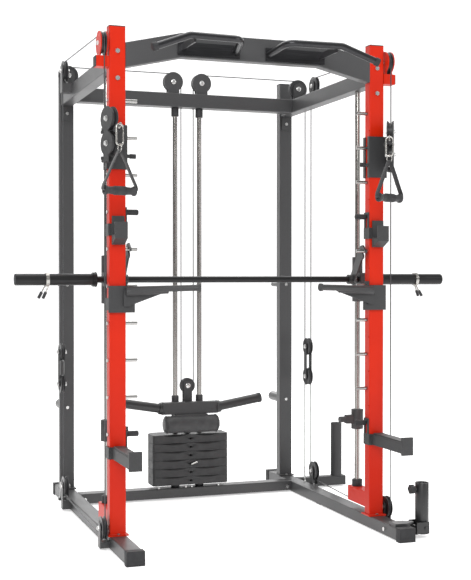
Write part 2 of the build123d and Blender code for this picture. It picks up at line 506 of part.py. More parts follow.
# ------------------------------------------------------------------ weight stack
def weight_carriage():
    bar = block(-CARRIER_X, CARRIER_X, CARRIER_Y0, CARRIER_Y1, CARRIER_Z0, CARRIER_Z0 + CARRIER_H)
    mid = (CARRIER_Y0 + CARRIER_Y1) / 2
    zc = CARRIER_Z0 + CARRIER_H / 2
    for s in SIDES:
        bar += rod((s * CARRIER_X, mid, zc), (s * (CARRIER_X + 8), mid, zc), 33)
    guide = block(-95, 95, CARRIER_Y1, STACK_Y + 22, CARRIER_Z0 + 8, CARRIER_Z0 + CARRIER_H - 8)
    for s in SIDES:
        guide += rod((s * STACK_ROD_X, STACK_Y, CARRIER_Z0 - 20),
                     (s * STACK_ROD_X, STACK_Y, CARRIER_Z0 + 90), ROD_R + 6.5)
    body = bar + guide
    body += rod((0, STACK_Y, STACK_Z0 + 8), (0, STACK_Y, CARRIER_Z0 + 10), STEM_R)
    for s in SIDES:
        y = STACK_Y + s * (PULLEY_T / 2 + SIDE_GAP)
        body += block(-22, 22, min(y, y + s * PLATE_T), max(y, y + s * PLATE_T),
                      CARRIER_Z0 + 40, STACK_PULLEY_Z + 22)
    body += rod((0, STACK_Y - 20, STACK_PULLEY_Z), (0, STACK_Y + 20, STACK_PULLEY_Z), AXLE_R)
    for s in SIDES:
        body -= rod((s * STACK_ROD_X, STACK_Y, CARRIER_Z0 - 30), (s * STACK_ROD_X, STACK_Y, CARRIER_Z0 + 100),
                    ROD_R + FIT)
    for i in range(PLATES):
        z = STACK_Z0 + i * PLATE_PITCH + PLATE_H / 2
        body -= rod((0, STACK_Y - 30, z), (0, STACK_Y + 30, z), PIN_HOLE)
    return [body]


def plate_horns():
    mid, zc = (CARRIER_Y0 + CARRIER_Y1) / 2, CARRIER_Z0 + CARRIER_H / 2
    a = math.radians(HORN_TILT)
    p = Vector(CARRIER_X + 8, mid, zc)
    q = p + Vector(math.cos(a), 0, math.sin(a)) * HORN_LEN
    out = (q - p).normalized()
    body = rod(p - out * 20, q, HORN_R)
    body = chamfer(body.edges().sort_by(Axis.X)[-1], 2)
    body += rod(p - out * 20, p + out * HORN_STOP, HORN_R + 7)
    body &= block(p.X, 500, mid - 60, mid + 60, zc - 60, zc + 120)
    return both(body)


def stack_pad():
    body = rod((-PAD_HALF, PAD_Y, PAD_Z), (PAD_HALF, PAD_Y, PAD_Z), PAD_R)
    body = fillet(body.edges(), 14)
    plates = block(-80, 80, PAD_Y - 12, PAD_Y + 30, PAD_Z + PAD_R - 14, CARRIER_Z0)
    return [body + plates]


def selector_pin():
    z = STACK_Z0 + (PLATES - UPPER) * PLATE_PITCH + PLATE_H / 2
    bend = (0, STACK_Y - PLATE_D / 2 - 14, z)
    pin = rod(bend, (0, STACK_Y + 12, z), PIN_R) + Pos(*bend) * Sphere(PIN_R)
    pin += rod(bend, (28, bend[1] - 8, z + 12), PIN_R)
    return [pin]


# ------------------------------------------------------------------ trolleys
def shell(z0, z1, slot):
    """A sleeve round the right front upright; slot leaves its inner side open for the pegs."""
    g, t = SLEEVE_GAP, SLEEVE_T
    x0, x1, y0, y1 = UP_IN - g, UP_OUT + HEAD_GAP, FRONT_FACE - g, FRONT_BACK + g
    body = block(x0 - t, x1 + t, y0 - t, y1 + t, z0, z1) - block(x0, x1, y0, y1, z0 - 1, z1 + 1)
    if slot:
        body -= block(x0 - t - 1, x0 + 1, FRONT_Y - slot, FRONT_Y + slot, z0 - 1, z1 + 1)
    return body


def trolley():
    body = shell(TROLLEY_Z0, TROLLEY_Z1, SLOT_HALF)
    x1 = UP_OUT + HEAD_GAP + SLEEVE_T
    for z in LINK_Z:
        body += prism_z([(x1 - 20, FRONT_FACE - 1), (x1, FRONT_FACE + 20), (CABLE_X + 6, AXIS_Y + 10),
                         (CABLE_X, AXIS_Y), (CABLE_X - 14, AXIS_Y - 6), (x1 - 20, FRONT_FACE - 7)], z, z + LINK_T)
        body += rod((CABLE_X, AXIS_Y, z), (CABLE_X, AXIS_Y, z + LINK_T), LINK_R)
        body -= rod((CABLE_X, AXIS_Y, z - 1), (CABLE_X, AXIS_Y, z + LINK_T + 1), BUSH_R + FIT)
        body -= block(UP_IN - SLEEVE_GAP, UP_OUT + HEAD_GAP, FRONT_FACE - SLEEVE_GAP, FRONT_BACK,
                      z - 1, z + 20)
    z = peg_z(1) - PEG_PITCH / 2
    xi = UP_IN - SLEEVE_GAP - SLEEVE_T
    body += rod((xi - 12, HOLE_Y, z), (xi, HOLE_Y, z), 8)
    body -= rod((xi - 20, HOLE_Y, z), (xi + 20, HOLE_Y, z), HOLE_R)
    return body


def pop_pin():
    """Lock pin of the trolley; its tip is level with the sleeve's inner face, just short of the hole."""
    z = peg_z(1) - PEG_PITCH / 2
    xi = UP_IN - SLEEVE_GAP - SLEEVE_T
    pin = rod((xi - 16, HOLE_Y, z), (UP_IN - SLEEVE_GAP, HOLE_Y, z), HOLE_R - 0.35)
    pin += rod((xi - 38, HOLE_Y, z), (xi - 13, HOLE_Y, z), 10)
    return pin


def arm_frame():
    """The swivelling pulley arm, pointing forward from its axis at the origin of x and y."""
    f = GROOVE_R
    inner = PULLEY_T / 2 + 1
    outer = inner + PLATE_T
    body = None
    for s in SIDES:
        a, b = sorted((s * inner, s * outer))
        p = rod((a, -f, ARM_TOP_Z), (b, -f, ARM_TOP_Z), GROOVE_R + 7)
        p += rod((a, -f, ARM_LOW_Z), (b, -f, ARM_LOW_Z), GROOVE_R + 7)
        p += block(a, b, -f - 14, -20, LINK_Z[1] - 12, ARM_TOP_Z)
        body = p if body is None else body + p
    for z in (ARM_TOP_Z, ARM_LOW_Z):
        body += rod((-outer - 5, -f, z), (outer + 5, -f, z), AXLE_R)
        for s in SIDES:
            body += rod((s * outer, -f, z), (s * (outer + 4), -f, z), 9)
    for z, zb in ((LINK_Z[0] + LINK_T + 1, LINK_Z[0]), (LINK_Z[1] - 12, LINK_Z[1] + LINK_T)):
        t = 9.0 if z > ARM_LOW_Z else 11.0
        back = -30 if z < ARM_LOW_Z else -21
        body += rod((0, 0, z), (0, 0, z + t), 11) + block(-outer, outer, back, 0, z, z + t)
        body += rod((0, 0, min(z, zb)), (0, 0, max(z + t, zb)), BUSH_R)
    for z in (ARM_TOP_Z, ARM_LOW_Z):
        well = rod((-inner, -f, z), (inner, -f, z), GROOVE_R + 5)
        body -= well - rod((-inner, -f, z), (inner, -f, z), AXLE_R)
    body -= rod((0, 0, TROLLEY_Z0 - 90), (0, 0, ARM_TOP_Z + 90), BUSH_BORE)
    return body


def arm_pulley(z):
    return pulley((0, -GROOVE_R, z), "x", lip=ARM_PULLEY_LIP)


def handle(grip_turn):
    """Ball stop, snap hook, strap and grip, in front of the arm's axis."""
    ball = Pos(0, -BALL_F, EXIT_Z) * Sphere(BALL_R)
    ball += rod((0, -GROOVE_R - 6, EXIT_Z), (0, -BALL_F, EXIT_Z), CABLE_R)
    ball += rod((0, -BALL_F - 22, EXIT_Z), (0, -BALL_F, EXIT_Z), 5)
    y = -BALL_F - 22
    h = CLIP_H / 2
    path = (Plane(origin=(0, y, EXIT_Z - h + 22), x_dir=(1, 0, 0), z_dir=(0, -1, 0))
            * RectangleRounded(CLIP_W - 8, CLIP_H - 8, 14)).face().outer_wire()
    hook = sweep(Plane(origin=path @ 0, z_dir=path % 0) * Circle(CLIP_WIRE), path=path)
    z0 = EXIT_Z - CLIP_H + 26.5 + CLIP_WIRE - 4
    pieces = [ball + hook]
    spin = Pos(0, y, 0) * Rot(0, 0, grip_turn)
    strap = None
    for s in SIDES:
        x = s * GRIP_LEN / 2
        d = 1 if s > 0 else -1
        leg = prism_y([(0, z0 - 6), (0, z0 - 14), (x - d * 2, GRIP_Z - 6), (x + d * 4, GRIP_Z - 6),
                       (x + d * 4, GRIP_Z + 2), (d * 6, z0 - 6)], -STRAP_W / 2, STRAP_W / 2)
        strap = leg if strap is None else strap + leg
    grip = rod((-GRIP_LEN / 2 - 8, 0, GRIP_Z), (GRIP_LEN / 2 + 8, 0, GRIP_Z), HAND_R)
    strap -= grip
    pieces += [spin * strap, spin * grip]
    return pieces


def placed(shape, side, turn):
    """Put a forward-pointing piece on the cable line of one side, turned inward."""
    return Pos(side * CABLE_X, AXIS_Y, 0) * Rot(0, 0, -side * turn) * shape


# ------------------------------------------------------------------ hung accessories
def hanger(k):
    """Collar round the upright, open at the back, with a slotted side plate hung on peg k."""
    z1 = peg_z(k) - COLLAR_DROP
    z0 = z1 - COLLAR_H
    g, t = SLEEVE_GAP, SLEEVE_T
    x0, x1 = UP_IN - g, UP_OUT + g
    y0, y1 = FRONT_FACE - g, FRONT_BACK
    body = block(x0 - t, x1 + t, y0 - t, y1, z0, z1) - block(x0, x1, y0, y1 + 1, z0 - 1, z1 + 1)
    zp = peg_z(k)
    leg = block(x0 - t, x0, FRONT_Y - 24, FRONT_Y + 22, z1 - 5, zp + 20)
    w = PEG_R + PEG_GAP
    leg -= block(x0 - t - 1, x0 + 1, FRONT_Y - w, FRONT_Y + w, zp - SLOT_LEN - 1, zp)
    leg -= rod((x0 - t - 1, FRONT_Y, zp), (x0 + 1, FRONT_Y, zp), w)
    return body + leg


def j_hooks():
    z = peg_z(J_PEG) - COLLAR_DROP
    y = FRONT_FACE - SLEEVE_GAP - SLEEVE_T
    pts = [(y, z + 32), (y - 9, z + 32), (y - 9, z - 44), (y - 52, z - 50), (y - 52, z + 6), (y - 62, z + 6),
           (y - 62, z - 62), (y - 9, z - 88), (y, z - 88)]
    return both(hanger(J_PEG) + prism_x(pts, UP_X - 27, UP_X + 27))


def dip_arms():
    z = peg_z(DIP_PEG) - COLLAR_DROP
    y = FRONT_FACE - SLEEVE_GAP - SLEEVE_T
    x0 = UP_IN - SLEEVE_GAP - SLEEVE_T
    body = hanger(DIP_PEG)
    body += prism_x([(y, z + 52), (y - 6, z + 52), (y - 6, z - 60), (y, z - 60)], x0 - 30, UP_OUT + 6)
    end = (UP_X - 326, y - 104, z + 44)
    body += rod((x0 + 8, y - 16, z + 36), end, 13)
    body += rod((x0 + 10, y - 20, z + 24), (UP_X - 206, y - 40, z + 34), 15)
    web = [(x0 + 2, z - 34), (x0 - 165, z + 26), (x0 - 165, z + 34), (x0 + 2, z + 34)]
    body += prism_y(web, y - 16, y - 10)
    body += block(x0 - 10, x0 + 20, y - 16, y, z - 34, z + 34)
    body += rod((end[0] - 2, end[1], end[2]), (end[0] + 8, end[1] + 1.5, end[2]), 17)
    return both(body)


def spotter_arms():
    z = peg_z(SPOTTER_PEG) - COLLAR_DROP
    y = FRONT_FACE - SLEEVE_GAP - SLEEVE_T
    body = hanger(SPOTTER_PEG)
    body += block(UP_X - 25, UP_X + 25, -792, y + 2, z - 48, z - 2)
    body += block(UP_X - 27, UP_X + 27, -798, -788, z - 56, z + 22)
    body += block(UP_X - 22, UP_X + 22, -789, y - 8, z - 3, z + 6)
    return both(body)


def smith_stops():
    body = rod((UP_X, SMITH_ROD_Y, STOP_Z), (UP_X, SMITH_ROD_Y, STOP_Z + STOP_H), STOP_R)
    body += block(UP_X - 60, UP_X - 20, SMITH_ROD_Y - 14, SMITH_ROD_Y + 14, STOP_Z + 26, STOP_Z + 66)
    body += rod((UP_X - 92, SMITH_ROD_Y, STOP_Z + 46), (UP_X - 58, SMITH_ROD_Y, STOP_Z + 46), 14)
    body -= rod((UP_X, SMITH_ROD_Y, STOP_Z - 1), (UP_X, SMITH_ROD_Y, STOP_Z + STOP_H + 1), ROD_R + FIT)
    return both(body)


# ------------------------------------------------------------------ landmine
def landmine_mount():
    body = block(UP_OUT + 4, LM_PIN_X, LM_Y - 19, LM_Y + 19, 62, 70)
    body += rod((LM_PIN_X, LM_Y, 62), (LM_PIN_X, LM_Y, 70), 19)
    body += block(UP_IN + 5, UP_OUT + 4, LM_Y - 30, LM_Y + 30, RAIL_TOP, 70)
    body += rod((LM_PIN_X, LM_Y, 14), (LM_PIN_X, LM_Y, 62), 7)
    return [body + rod((LM_PIN_X, LM_Y, 8), (LM_PIN_X, LM_Y, 14), 11)]


def landmine_yoke():
    body = rod((LM_PIN_X, LM_Y, 16), (LM_PIN_X, LM_Y, 60), 12)
    body += prism_z([(LM_PIN_X + 4, LM_Y - 13), (YOKE_X - 0.5, LM_Y - YOKE_HALF), (YOKE_X, LM_Y - YOKE_HALF),
                     (YOKE_X, LM_Y + YOKE_HALF), (YOKE_X - 0.5, LM_Y + YOKE_HALF), (LM_PIN_X + 4, LM_Y + 13)], 18, 58)
    for s in SIDES:
        a, b = sorted((LM_Y + s * (LM_R + 2), LM_Y + s * YOKE_HALF))
        body += block(YOKE_X - 1, LM_X + 16, a, b, 20, 70)
    body += rod((LM_X, LM_Y - LM_R - 14, LM_Z), (LM_X, LM_Y - LM_R + 1.0, LM_Z), 7)
    body += rod((LM_X, LM_Y + LM_R - 1.0, LM_Z), (LM_X, LM_Y + LM_R + 14, LM_Z), 7)
    body -= rod((LM_PIN_X, LM_Y, 10), (LM_PIN_X, LM_Y, 64), 7 + FIT)
    return [body]


def landmine_tube():
    body = pipe((LM_X, LM_Y, LM_BOTTOM), (LM_X, LM_Y, LM_TOP), LM_R, LM_BORE)
    body += rod((LM_X, LM_Y, LM_BOTTOM), (LM_X, LM_Y, LM_BOTTOM + 5), LM_BORE + 1)
    body -= rod((LM_X, LM_Y - 60, LM_Z), (LM_X, LM_Y + 60, LM_Z), 7 + FIT)
    z = LM_TOP - 28
    body += rod((LM_X - LM_R - 8, LM_Y, z), (LM_X - LM_BORE - 1.5, LM_Y, z), 9)
    body -= rod((LM_X - LM_R - 20, LM_Y, z), (LM_X - LM_BORE + 3, LM_Y, z), 5 + FIT)
    return [body]


def landmine_knob():
    z = LM_TOP - 28
    x = LM_X - LM_R - 10
    knob = rod((x - 20, LM_Y, z), (x, LM_Y, z), 20)
    for k in range(5):
        a = math.radians(36 + 72 * k)
        knob -= rod((x - 21, LM_Y + 24 * math.cos(a), z + 24 * math.sin(a)),
                    (x + 1, LM_Y + 24 * math.cos(a), z + 24 * math.sin(a)), 8)
    return [knob + rod((x, LM_Y, z), (LM_X - LM_BORE, LM_Y, z), 5)]


def block_frames():
    out = []
    inner = PULLEY_T / 2 + SIDE_GAP
    body = None
    for s in SIDES:
        a, b = sorted((CABLE_X + s * inner, CABLE_X + s * (inner + PLATE_T)))
        p = block(a, b, BLOCK_Y - 15, BLOCK_Y + 15, BLOCK_LOW_Z, BLOCK_TOP_Z)
        for z in (BLOCK_LOW_Z, BLOCK_TOP_Z):
            p += rod((a, BLOCK_Y, z), (b, BLOCK_Y, z), 16)
        body = p if body is None else body + p
    for z in (BLOCK_LOW_Z, BLOCK_TOP_Z):
        body += rod((CABLE_X - inner - 8, BLOCK_Y, z), (CABLE_X + inner + 8, BLOCK_Y, z), AXLE_R)
        for s in SIDES:
            x = CABLE_X + s * (inner + PLATE_T)
            body += rod((x, BLOCK_Y, z), (CABLE_X + s * (inner + 8), BLOCK_Y, z), 9)
    out += both(body)
    out += both(half_wrap((CABLE_X, BLOCK_Y, BLOCK_TOP_Z), "x", BLOCK_GROOVE, False))
    out += both(half_wrap((CABLE_X, BLOCK_Y, BLOCK_LOW_Z), "x", BLOCK_GROOVE, True))
    return out


def nodes():
    """Every node by name."""
    right = arm_frame()
    yield "base_frame", base_frame()
    yield "front_uprights", front_uprights()
    yield "rear_uprights", rear_uprights()
    yield "top_frame", top_frame()
    yield "pull_up_beam", pull_up_beam()
    yield "pull_up_bars", pull_up_bars()
    yield "guide_rods", guide_rods()
    yield "frame_brackets", frame_brackets() + landmine_mount()
    yield "red_brackets", red_brackets()
    yield "catch_pegs", catch_pegs()
    yield "rubber_parts", rubber_parts()
    yield "lower_weight_plates", [plate(i) for i in range(PLATES - UPPER)]
    yield "upper_weight_plates", [plate(i) for i in range(PLATES - UPPER, PLATES)]
    yield "frame_bolts", frame_bolts()
    yield "storage_pegs", storage_pegs()
    yield "barbell_post", barbell_post()
    yield "fixed_cables", fixed_cables()
    yield "stack_strands", strands([(STACK_GROOVE, STACK_Y, STACK_PULLEY_Z, REAR_PULLEY_Z)])
    yield "block_upper_strands", strands([(CABLE_X, STACK_Y, BLOCK_TOP_Z, REAR_PULLEY_Z),
                                          (CABLE_X, STACK_Y - 2 * BLOCK_GROOVE, BLOCK_TOP_Z, REAR_PULLEY_Z)])
    yield "block_lower_strands", strands([(CABLE_X, STACK_Y, LOW_REAR_Z, BLOCK_LOW_Z),
                                          (CABLE_X, STACK_Y - 2 * BLOCK_GROOVE, LOW_REAR_Z, BLOCK_LOW_Z)])
    yield "smith_carriages", smith_carriages()
    yield "smith_bar", smith_bar()
    yield "bar_sleeves", bar_sleeves()
    yield "smith_hooks", smith_hooks()
    yield "spring_collars", spring_collars()
    yield "weight_carriage", weight_carriage()
    yield "plate_horns", plate_horns()
    yield "stack_pad", stack_pad()
    yield "selector_pin", selector_pin()
    yield "stack_pulley", [pulley((0, STACK_Y, STACK_PULLEY_Z), "y", STACK_GROOVE),
                           half_wrap((0, STACK_Y, STACK_PULLEY_Z), "y", STACK_GROOVE, False)]
    for name, s, turn, spin in (("left", -1, LEFT_TURN, 0), ("right", 1, RIGHT_TURN, 50)):
        t, p = trolley(), pop_pin()
        yield name + "_trolley", [t if s > 0 else flip(t)]
        yield name + "_pop_pin", [p if s > 0 else flip(p)]
        yield name + "_pulley_arm", [placed(right, s, turn)]
        yield name + "_arm_pulley_upper", [placed(arm_pulley(ARM_TOP_Z), s, turn)]
        yield name + "_arm_pulley_lower", [placed(arm_pulley(ARM_LOW_Z), s, turn)]
        yield name + "_handle", [placed(q, s, turn) for q in handle(spin)]
        yield name + "_corner_pulley", [pulley((s * CORNER_X, STACK_Y, REAR_PULLEY_Z), "y")]
        yield name + "_centre_pulley", [pulley((s * CENTRE_X, STACK_Y, REAR_PULLEY_Z), "y")]
    for name, y, z in (("top_front_pulleys", FRONT_PULLEY_Y, TOP_PULLEY_Z),
                       ("top_rear_pulleys", REAR_PULLEY_Y, REAR_PULLEY_Z),
                       ("low_front_pulleys", FRONT_PULLEY_Y, LOW_PULLEY_Z),
                       ("low_rear_pulleys", REAR_PULLEY_Y, LOW_REAR_Z)):
        yield name, both(pulley((CABLE_X, y, z), "x"))
    yield "block_upper_pulleys", both(pulley((CABLE_X, BLOCK_Y, BLOCK_TOP_Z), "x", BLOCK_GROOVE, 5))
    yield "block_lower_pulleys", both(pulley((CABLE_X, BLOCK_Y, BLOCK_LOW_Z), "x", BLOCK_GROOVE, 5))
    yield "block_frames", block_frames()
    yield "j_hooks", j_hooks()
    yield "dip_arms", dip_arms()
    yield "spotter_arms", spotter_arms()
    yield "smith_stops", smith_stops()
    yield "landmine_yoke", landmine_yoke()
    yield "landmine_tube", landmine_tube()
    yield "landmine_knob", landmine_knob()


def main():
    os.makedirs("parts", exist_ok=True)
    for name, pieces in nodes():
        solids = [s for p in pieces for s in p.solids()]
        export_step(Compound(children=solids, label=name), "parts/" + name + ".step")


main()
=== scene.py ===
"""Looks of the power cage: finishes for its CAD parts, and the soft and small pieces built round them.

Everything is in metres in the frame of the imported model: +Z up, +Y to the back, +X to the right as seen from
the front, the origin on the floor under the middle of the cage.
"""
from __future__ import annotations

import logging
import math
from dataclasses import dataclass, field
from enum import Enum
from typing import Callable, Iterable, Sequence

import bmesh
import bpy
from mathutils import Matrix, Vector


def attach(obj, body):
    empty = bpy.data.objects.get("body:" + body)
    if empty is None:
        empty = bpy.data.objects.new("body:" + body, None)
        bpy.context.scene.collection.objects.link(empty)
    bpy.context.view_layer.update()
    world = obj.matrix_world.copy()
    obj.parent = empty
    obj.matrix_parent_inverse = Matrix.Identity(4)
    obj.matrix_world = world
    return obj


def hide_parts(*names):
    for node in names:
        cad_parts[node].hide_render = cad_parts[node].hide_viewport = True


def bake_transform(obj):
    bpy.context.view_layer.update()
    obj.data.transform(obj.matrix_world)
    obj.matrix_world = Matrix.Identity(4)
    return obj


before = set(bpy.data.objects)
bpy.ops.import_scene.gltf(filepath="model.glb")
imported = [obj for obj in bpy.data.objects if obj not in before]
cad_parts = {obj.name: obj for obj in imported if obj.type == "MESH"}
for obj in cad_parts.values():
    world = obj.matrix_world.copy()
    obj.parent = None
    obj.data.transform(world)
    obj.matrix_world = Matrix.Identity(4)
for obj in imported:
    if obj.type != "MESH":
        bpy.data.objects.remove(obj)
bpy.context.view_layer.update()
LOG = logging.getLogger("power_cage")
SIDES = (("left", -1.0), ("right", 1.0))
Point = Sequence[float]


class Slot(Enum):
    """The record's material slots."""

    RED = "powder_red"
    GRAPHITE = "powder_graphite"
    BLACK = "powder_black"
    CHROME = "chrome"
    ZINC = "zinc"
    IRON = "iron"
    RUBBER = "rubber"
    NYLON = "nylon"
    VINYL = "vinyl"
    WEBBING = "webbing"


class Along(Enum):
    """The way a brushed or turned surface was finished, as the stretch of its grain."""

    X = (0.02, 1.0, 1.0)
    Y = (1.0, 0.02, 1.0)
    Z = (1.0, 1.0, 0.02)
    NONE = (1.0, 1.0, 1.0)


# ------------------------------------------------------------------ shader effects
class Tree:
    """A node tree being filled in."""

    def __init__(self, tree: bpy.types.NodeTree) -> None:
        """Takes the tree that the nodes go in."""
        self.tree = tree

    def node(self, kind: str, inputs: dict | None = None, **settings: object) -> bpy.types.Node:
        """Adds a node.

        Args:
            kind: the node's type without its ShaderNode prefix.
            inputs: values or output sockets by input name or number.
            settings: properties of the node.

        Returns:
            The node.
        """
        made = self.tree.nodes.new("ShaderNode" + kind)
        for key, value in settings.items():
            setattr(made, key, value)
        for key, value in (inputs or {}).items():
            if isinstance(value, bpy.types.NodeSocket):
                self.tree.links.new(value, made.inputs[key])
            else:
                made.inputs[key].default_value = value
        return made

    def math(self, how: str, a: object, b: object = 0.0, clamp: bool = False) -> bpy.types.NodeSocket:
        """Returns the result of a Math node on a and b."""
        return self.node("Math", {0: a, 1: b}, operation=how, use_clamp=clamp).outputs[0]

    def remap(self, value: bpy.types.NodeSocket, low: float, high: float, out_low: object,
              out_high: object) -> bpy.types.NodeSocket:
        """Returns value carried from low..high to out_low..out_high, clamped."""
        return self.node("MapRange", {"Value": value, "From Min": low, "From Max": high, "To Min": out_low,
                                      "To Max": out_high}).outputs[0]

    def blend(self, share: object, a: object, b: object, how: str = "MIX") -> bpy.types.NodeSocket:
        """Returns colours a and b mixed by share."""
        mix = self.node("Mix", data_type="RGBA", blend_type=how)
        for number, value in ((0, share), (6, a), (7, b)):
            if isinstance(value, bpy.types.NodeSocket):
                self.tree.links.new(value, mix.inputs[number])
            else:
                mix.inputs[number].default_value = value
        return mix.outputs[2]

    def noise(self, where: bpy.types.NodeSocket, scale: object, detail: float = 3.0,
              rough: float = 0.55) -> bpy.types.NodeSocket:
        """Returns a noise from 0 to 1 at a position."""
        return self.node("TexNoise", {"Vector": where, "Scale": scale, "Detail": detail,
                                      "Roughness": rough}).outputs["Fac"]


def effect(name: str, inputs: Sequence[tuple[str, str, object]], outputs: Sequence[tuple[str, str]],
           fill: Callable[[Tree, bpy.types.Node], dict[str, bpy.types.NodeSocket]]) -> bpy.types.NodeTree:
    """Builds a shader node group once.

    Args:
        name: the group's name.
        inputs: name, socket type and default of each input.
        outputs: name and socket type of each output.
        fill: makes the nodes and returns the socket for each output.

    Returns:
        The group.
    """
    found = bpy.data.node_groups.get(name)
    if found:
        return found
    group = bpy.data.node_groups.new(name, "ShaderNodeTree")
    for label, kind, default in inputs:
        socket = group.interface.new_socket(label, in_out="INPUT", socket_type="NodeSocket" + kind)
        socket.default_value = default
    for label, kind in outputs:
        group.interface.new_socket(label, in_out="OUTPUT", socket_type="NodeSocket" + kind)
    start, end = group.nodes.new("NodeGroupInput"), group.nodes.new("NodeGroupOutput")
    for label, socket in fill(Tree(group), start).items():
        group.links.new(socket, end.inputs[label])
    return group


def powder_effect() -> bpy.types.NodeTree:
    """Returns the group for powder coat: cloudy shade, pinhead grain and a few rubbed places."""

    def fill(t: Tree, given: bpy.types.Node) -> dict[str, bpy.types.NodeSocket]:
        """Makes the nodes and returns the outputs."""
        where = t.node("TexCoord").outputs["Object"]
        cloud = t.noise(where, 2.4, 4.0)
        grain = t.noise(where, given.outputs["Grain Scale"], 2.0)
        peel = t.noise(where, 160.0, 2.0)
        rub = t.remap(t.noise(where, 17.0, 8.0, 0.72), 0.62, 0.74, 0.0, given.outputs["Rub"])
        shade = t.remap(cloud, 0.3, 0.7, 0.0, 1.0)
        colour = t.blend(shade, given.outputs["Colour"], given.outputs["Shade"])
        fleck = t.remap(grain, 0.35, 0.7, 0.0, given.outputs["Fleck"])
        colour = t.blend(fleck, colour, given.outputs["Fleck Colour"])
        colour = t.blend(rub, colour, given.outputs["Fleck Colour"])
        rough = t.math("ADD", given.outputs["Roughness"], t.remap(cloud, 0.3, 0.7, -0.04, 0.05))
        rough = t.math("SUBTRACT", rough, t.math("MULTIPLY", rub, 0.25), True)
        height = t.math("ADD", t.math("MULTIPLY", peel, 0.6), t.math("MULTIPLY", grain, 0.4))
        return {"Colour": colour, "Roughness": rough, "Height": height}

    return effect("powder_texture", [("Colour", "Color", (0.1, 0.1, 0.1, 1)),
                                     ("Shade", "Color", (0.1, 0.1, 0.1, 1)),
                                     ("Fleck Colour", "Color", (0.3, 0.3, 0.3, 1)), ("Fleck", "Float", 0.1),
                                     ("Rub", "Float", 0.1), ("Roughness", "Float", 0.5),
                                     ("Grain Scale", "Float", 900.0)],
                  [("Colour", "Color"), ("Roughness", "Float"), ("Height", "Float")], fill)


def dust_effect() -> bpy.types.NodeTree:
    """Returns the group for dust that settles on upward faces, as a mask."""

    def fill(t: Tree, given: bpy.types.Node) -> dict[str, bpy.types.NodeSocket]:
        """Makes the nodes and returns the outputs."""
        coord = t.node("TexCoord")
        up = t.node("SeparateXYZ", {0: coord.outputs["Normal"]}).outputs["Z"]
        settle = t.remap(up, 0.45, 0.95, 0.0, 1.0)
        patch = t.remap(t.noise(coord.outputs["Object"], 9.0, 6.0, 0.65), 0.35, 0.75, 0.25, 1.0)
        return {"Mask": t.math("MULTIPLY", t.math("MULTIPLY", settle, patch), given.outputs["Amount"], True)}

    return effect("dust_film", [("Amount", "Float", 0.1)], [("Mask", "Float")], fill)


def grain_effect() -> bpy.types.NodeTree:
    """Returns the group for drawn, turned or ground metal: fine lines, smudges and small pits."""

    def fill(t: Tree, given: bpy.types.Node) -> dict[str, bpy.types.NodeSocket]:
        """Makes the nodes and returns the outputs."""
        where = t.node("TexCoord").outputs["Object"]
        pull = t.node("VectorMath", {0: where, 1: given.outputs["Stretch"]}, operation="MULTIPLY").outputs[0]
        line = t.noise(pull, given.outputs["Scale"], 3.0, 0.6)
        smudge = t.noise(where, 12.0, 5.0, 0.6)
        pit = t.remap(t.noise(where, 240.0, 2.0), 0.72, 0.85, 0.0, 0.12)
        colour = t.blend(t.remap(line, 0.3, 0.7, 0.0, 1.0), given.outputs["Colour"], given.outputs["Shade"])
        colour = t.blend(pit, colour, given.outputs["Shade"])
        rough = t.math("ADD", given.outputs["Roughness"], t.remap(smudge, 0.3, 0.75, -0.03, 0.06), True)
        return {"Colour": colour, "Roughness": rough, "Height": line}

    return effect("metal_grain", [("Colour", "Color", (0.6, 0.6, 0.6, 1)),
                                  ("Shade", "Color", (0.4, 0.4, 0.4, 1)),
                                  ("Stretch", "Vector", (1, 1, 1)), ("Scale", "Float", 700.0),
                                  ("Roughness", "Float", 0.3)],
                  [("Colour", "Color"), ("Roughness", "Float"), ("Height", "Float")], fill)


def hide_effect() -> bpy.types.NodeTree:
    """Returns the group for moulded or embossed skins: small cells, wrinkles and painted shade in the creases
    between the cells.
    """

    def fill(t: Tree, given: bpy.types.Node) -> dict[str, bpy.types.NodeSocket]:
        """Makes the nodes and returns the outputs."""
        where = t.node("TexCoord").outputs["Object"]
        cells = t.node("TexVoronoi", {"Vector": where, "Scale": given.outputs["Scale"]},
                       feature="DISTANCE_TO_EDGE").outputs["Distance"]
        crease = t.remap(cells, 0.0, 0.12, 0.0, 1.0)
        soft = t.noise(where, 30.0, 4.0)
        colour = t.blend(t.remap(soft, 0.3, 0.7, 0.0, 1.0), given.outputs["Colour"], given.outputs["Shade"])
        # Painted shade: the creases between the cells are darkened towards the Shade colour, so the high spots
        # read lighter.
        painted_crease_shade = t.math("MULTIPLY", t.math("SUBTRACT", 1.0, crease), 0.5)
        colour = t.blend(painted_crease_shade, colour, given.outputs["Shade"])
        rough = t.math("ADD", given.outputs["Roughness"], t.remap(soft, 0.3, 0.7, -0.06, 0.08), True)
        height = t.math("ADD", t.math("MULTIPLY", crease, 0.7), t.math("MULTIPLY", soft, 0.3))
        return {"Colour": colour, "Roughness": rough, "Height": height}

    return effect("skin_emboss", [("Colour", "Color", (0.03, 0.03, 0.03, 1)),
                                  ("Shade", "Color", (0.02, 0.02, 0.02, 1)),
                                  ("Scale", "Float", 500.0), ("Roughness", "Float", 0.5)],
                  [("Colour", "Color"), ("Roughness", "Float"), ("Height", "Float")], fill)


